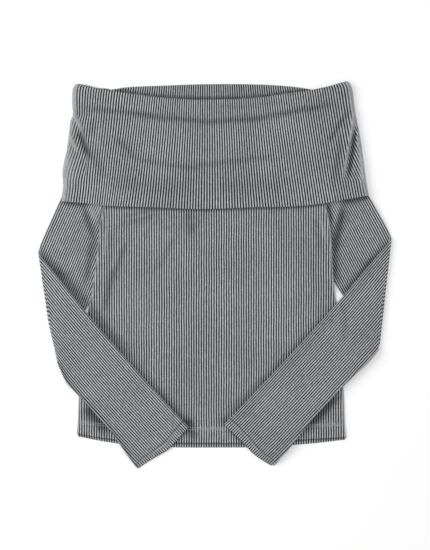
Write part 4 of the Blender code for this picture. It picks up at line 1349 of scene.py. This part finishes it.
# %% Rows of stitches
def sew(name, lines, facing):
    """Copy the stitch along each line of points, and join the copies to one piece."""
    copies = []
    for number, line in enumerate(lines):
        line = (line + SHIFT) * MM
        line = line[np.argsort(line[:, 0])]
        reach = np.concatenate([[0.0], np.cumsum(np.hypot(*np.diff(line[:, :2], axis=0).T))])
        nearby = [np.roll(line[:, 2] * facing, k)[4:-4] for k in range(-4, 5)]
        ridge = np.max(nearby, axis=0) * facing
        stops = np.arange(0.005 + 0.0016 * (number % 2), reach[-1] - 0.004, 0.0032)
        x, y = np.interp(stops, reach, line[:, 0]), np.interp(stops, reach, line[:, 1])
        z = np.interp(stops, reach[4:-4], ridge)
        for k in range(len(stops) - 1):
            run = Vector((x[k + 1] - x[k], y[k + 1] - y[k], z[k + 1] - z[k])).normalized()
            up = Vector((0.0, 0.0, facing))
            side = up.cross(run).normalized()
            turn = Matrix((run, side, run.cross(side))).transposed().to_4x4()
            copy = stitch.copy()
            copy.data = stitch.data.copy()
            copy.data.transform(Matrix.Translation((x[k], y[k], z[k] + 0.00005 * facing)) @ turn)
            bpy.context.scene.collection.objects.link(copy)
            copies.append(copy)
    sewn = len(copies)
    bpy.ops.object.select_all(action="DESELECT")
    for copy in copies:
        copy.select_set(True)
    bpy.context.view_layer.objects.active = copies[0]
    bpy.ops.object.join()
    piece = copies[0]
    piece.name = piece.data.name = name
    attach(piece, "root")
    print(name, "has", len(lines), "rows and", sewn, "stitches")
    return piece


front_stitches = sew("front_hem_stitches", SEWN["front"], 1.0)
back_stitches = sew("back_hem_stitches", SEWN["back"], -1.0)
left_stitches = sew("left_cuff_stitches", SEWN["left"], 1.0)
right_stitches = sew("right_cuff_stitches", SEWN["right"], 1.0)
bpy.data.objects.remove(stitch)

# %% [markdown]

# %% [markdown]
# ## Table, light and camera
#
# The top was photographed from straight above on white, under broad soft light that comes slightly
# from the left. A wide lamp overhead, one low on the left and an even white surrounding give the
# same: no hard shadows, only a soft dark line where one layer lies on another.

# %% Table
def make_floor():
    bpy.ops.object.select_all(action="DESELECT")
    bpy.ops.mesh.primitive_plane_add(size=6.0, location=(0.0, 0.0, 0.0))
    floor = bpy.context.active_object
    floor.name = "floor"
    material = bpy.data.materials.new("matt_white_card")
    material.use_nodes = True
    shader = material.node_tree.nodes["Principled BSDF"]
    shader.inputs["Base Color"].default_value = linear("#F4F4F4")
    shader.inputs["Roughness"].default_value = 0.9
    floor.data.materials.append(material)
    return floor


floor = make_floor()

# %% Light
def lamp(name, place, size, power):
    """A wide soft lamp that looks at the middle of the top."""
    light = bpy.data.lights.new(name, "AREA")
    light.shape, light.size, light.energy = "SQUARE", size, power
    holder = bpy.data.objects.new(name, light)
    holder.location = place
    holder.rotation_mode = "QUATERNION"
    holder.rotation_quaternion = (-Vector(place)).to_track_quat("-Z", "Y")
    bpy.context.scene.collection.objects.link(holder)
    return holder


# The dark lines where layers meet come partly from these lamps and partly from painted shadow in
# the knit's material
lamp("overhead_softbox", (0.1, 0.1, 2.6), 1.6, 26.0)
lamp("left_softbox", (-2.1, 0.3, 1.8), 1.6, 38.0)
world = bpy.data.worlds.new("white_room")
world.use_nodes = True
world.node_tree.nodes["Background"].inputs[0].default_value = (1.0, 1.0, 1.0, 1.0)
world.node_tree.nodes["Background"].inputs[1].default_value = 0.54
bpy.context.scene.world = world
bpy.context.scene.view_settings.view_transform = "Standard"
print("lamps:", [light.name for light in bpy.data.lights])

# %% Camera
camera_data = bpy.data.cameras.new("camera")
LENS, SENSOR, PICTURE_HEIGHT = 85.0, 36.0, 0.825
camera_data.lens, camera_data.sensor_width = LENS, SENSOR
camera = bpy.data.objects.new("camera", camera_data)
camera.location = (0.00015, -0.0004, PICTURE_HEIGHT * LENS / SENSOR + 0.005)
bpy.context.scene.collection.objects.link(camera)
bpy.context.scene.camera = camera
print("camera hangs %.2f m above the table" % camera.location.z)
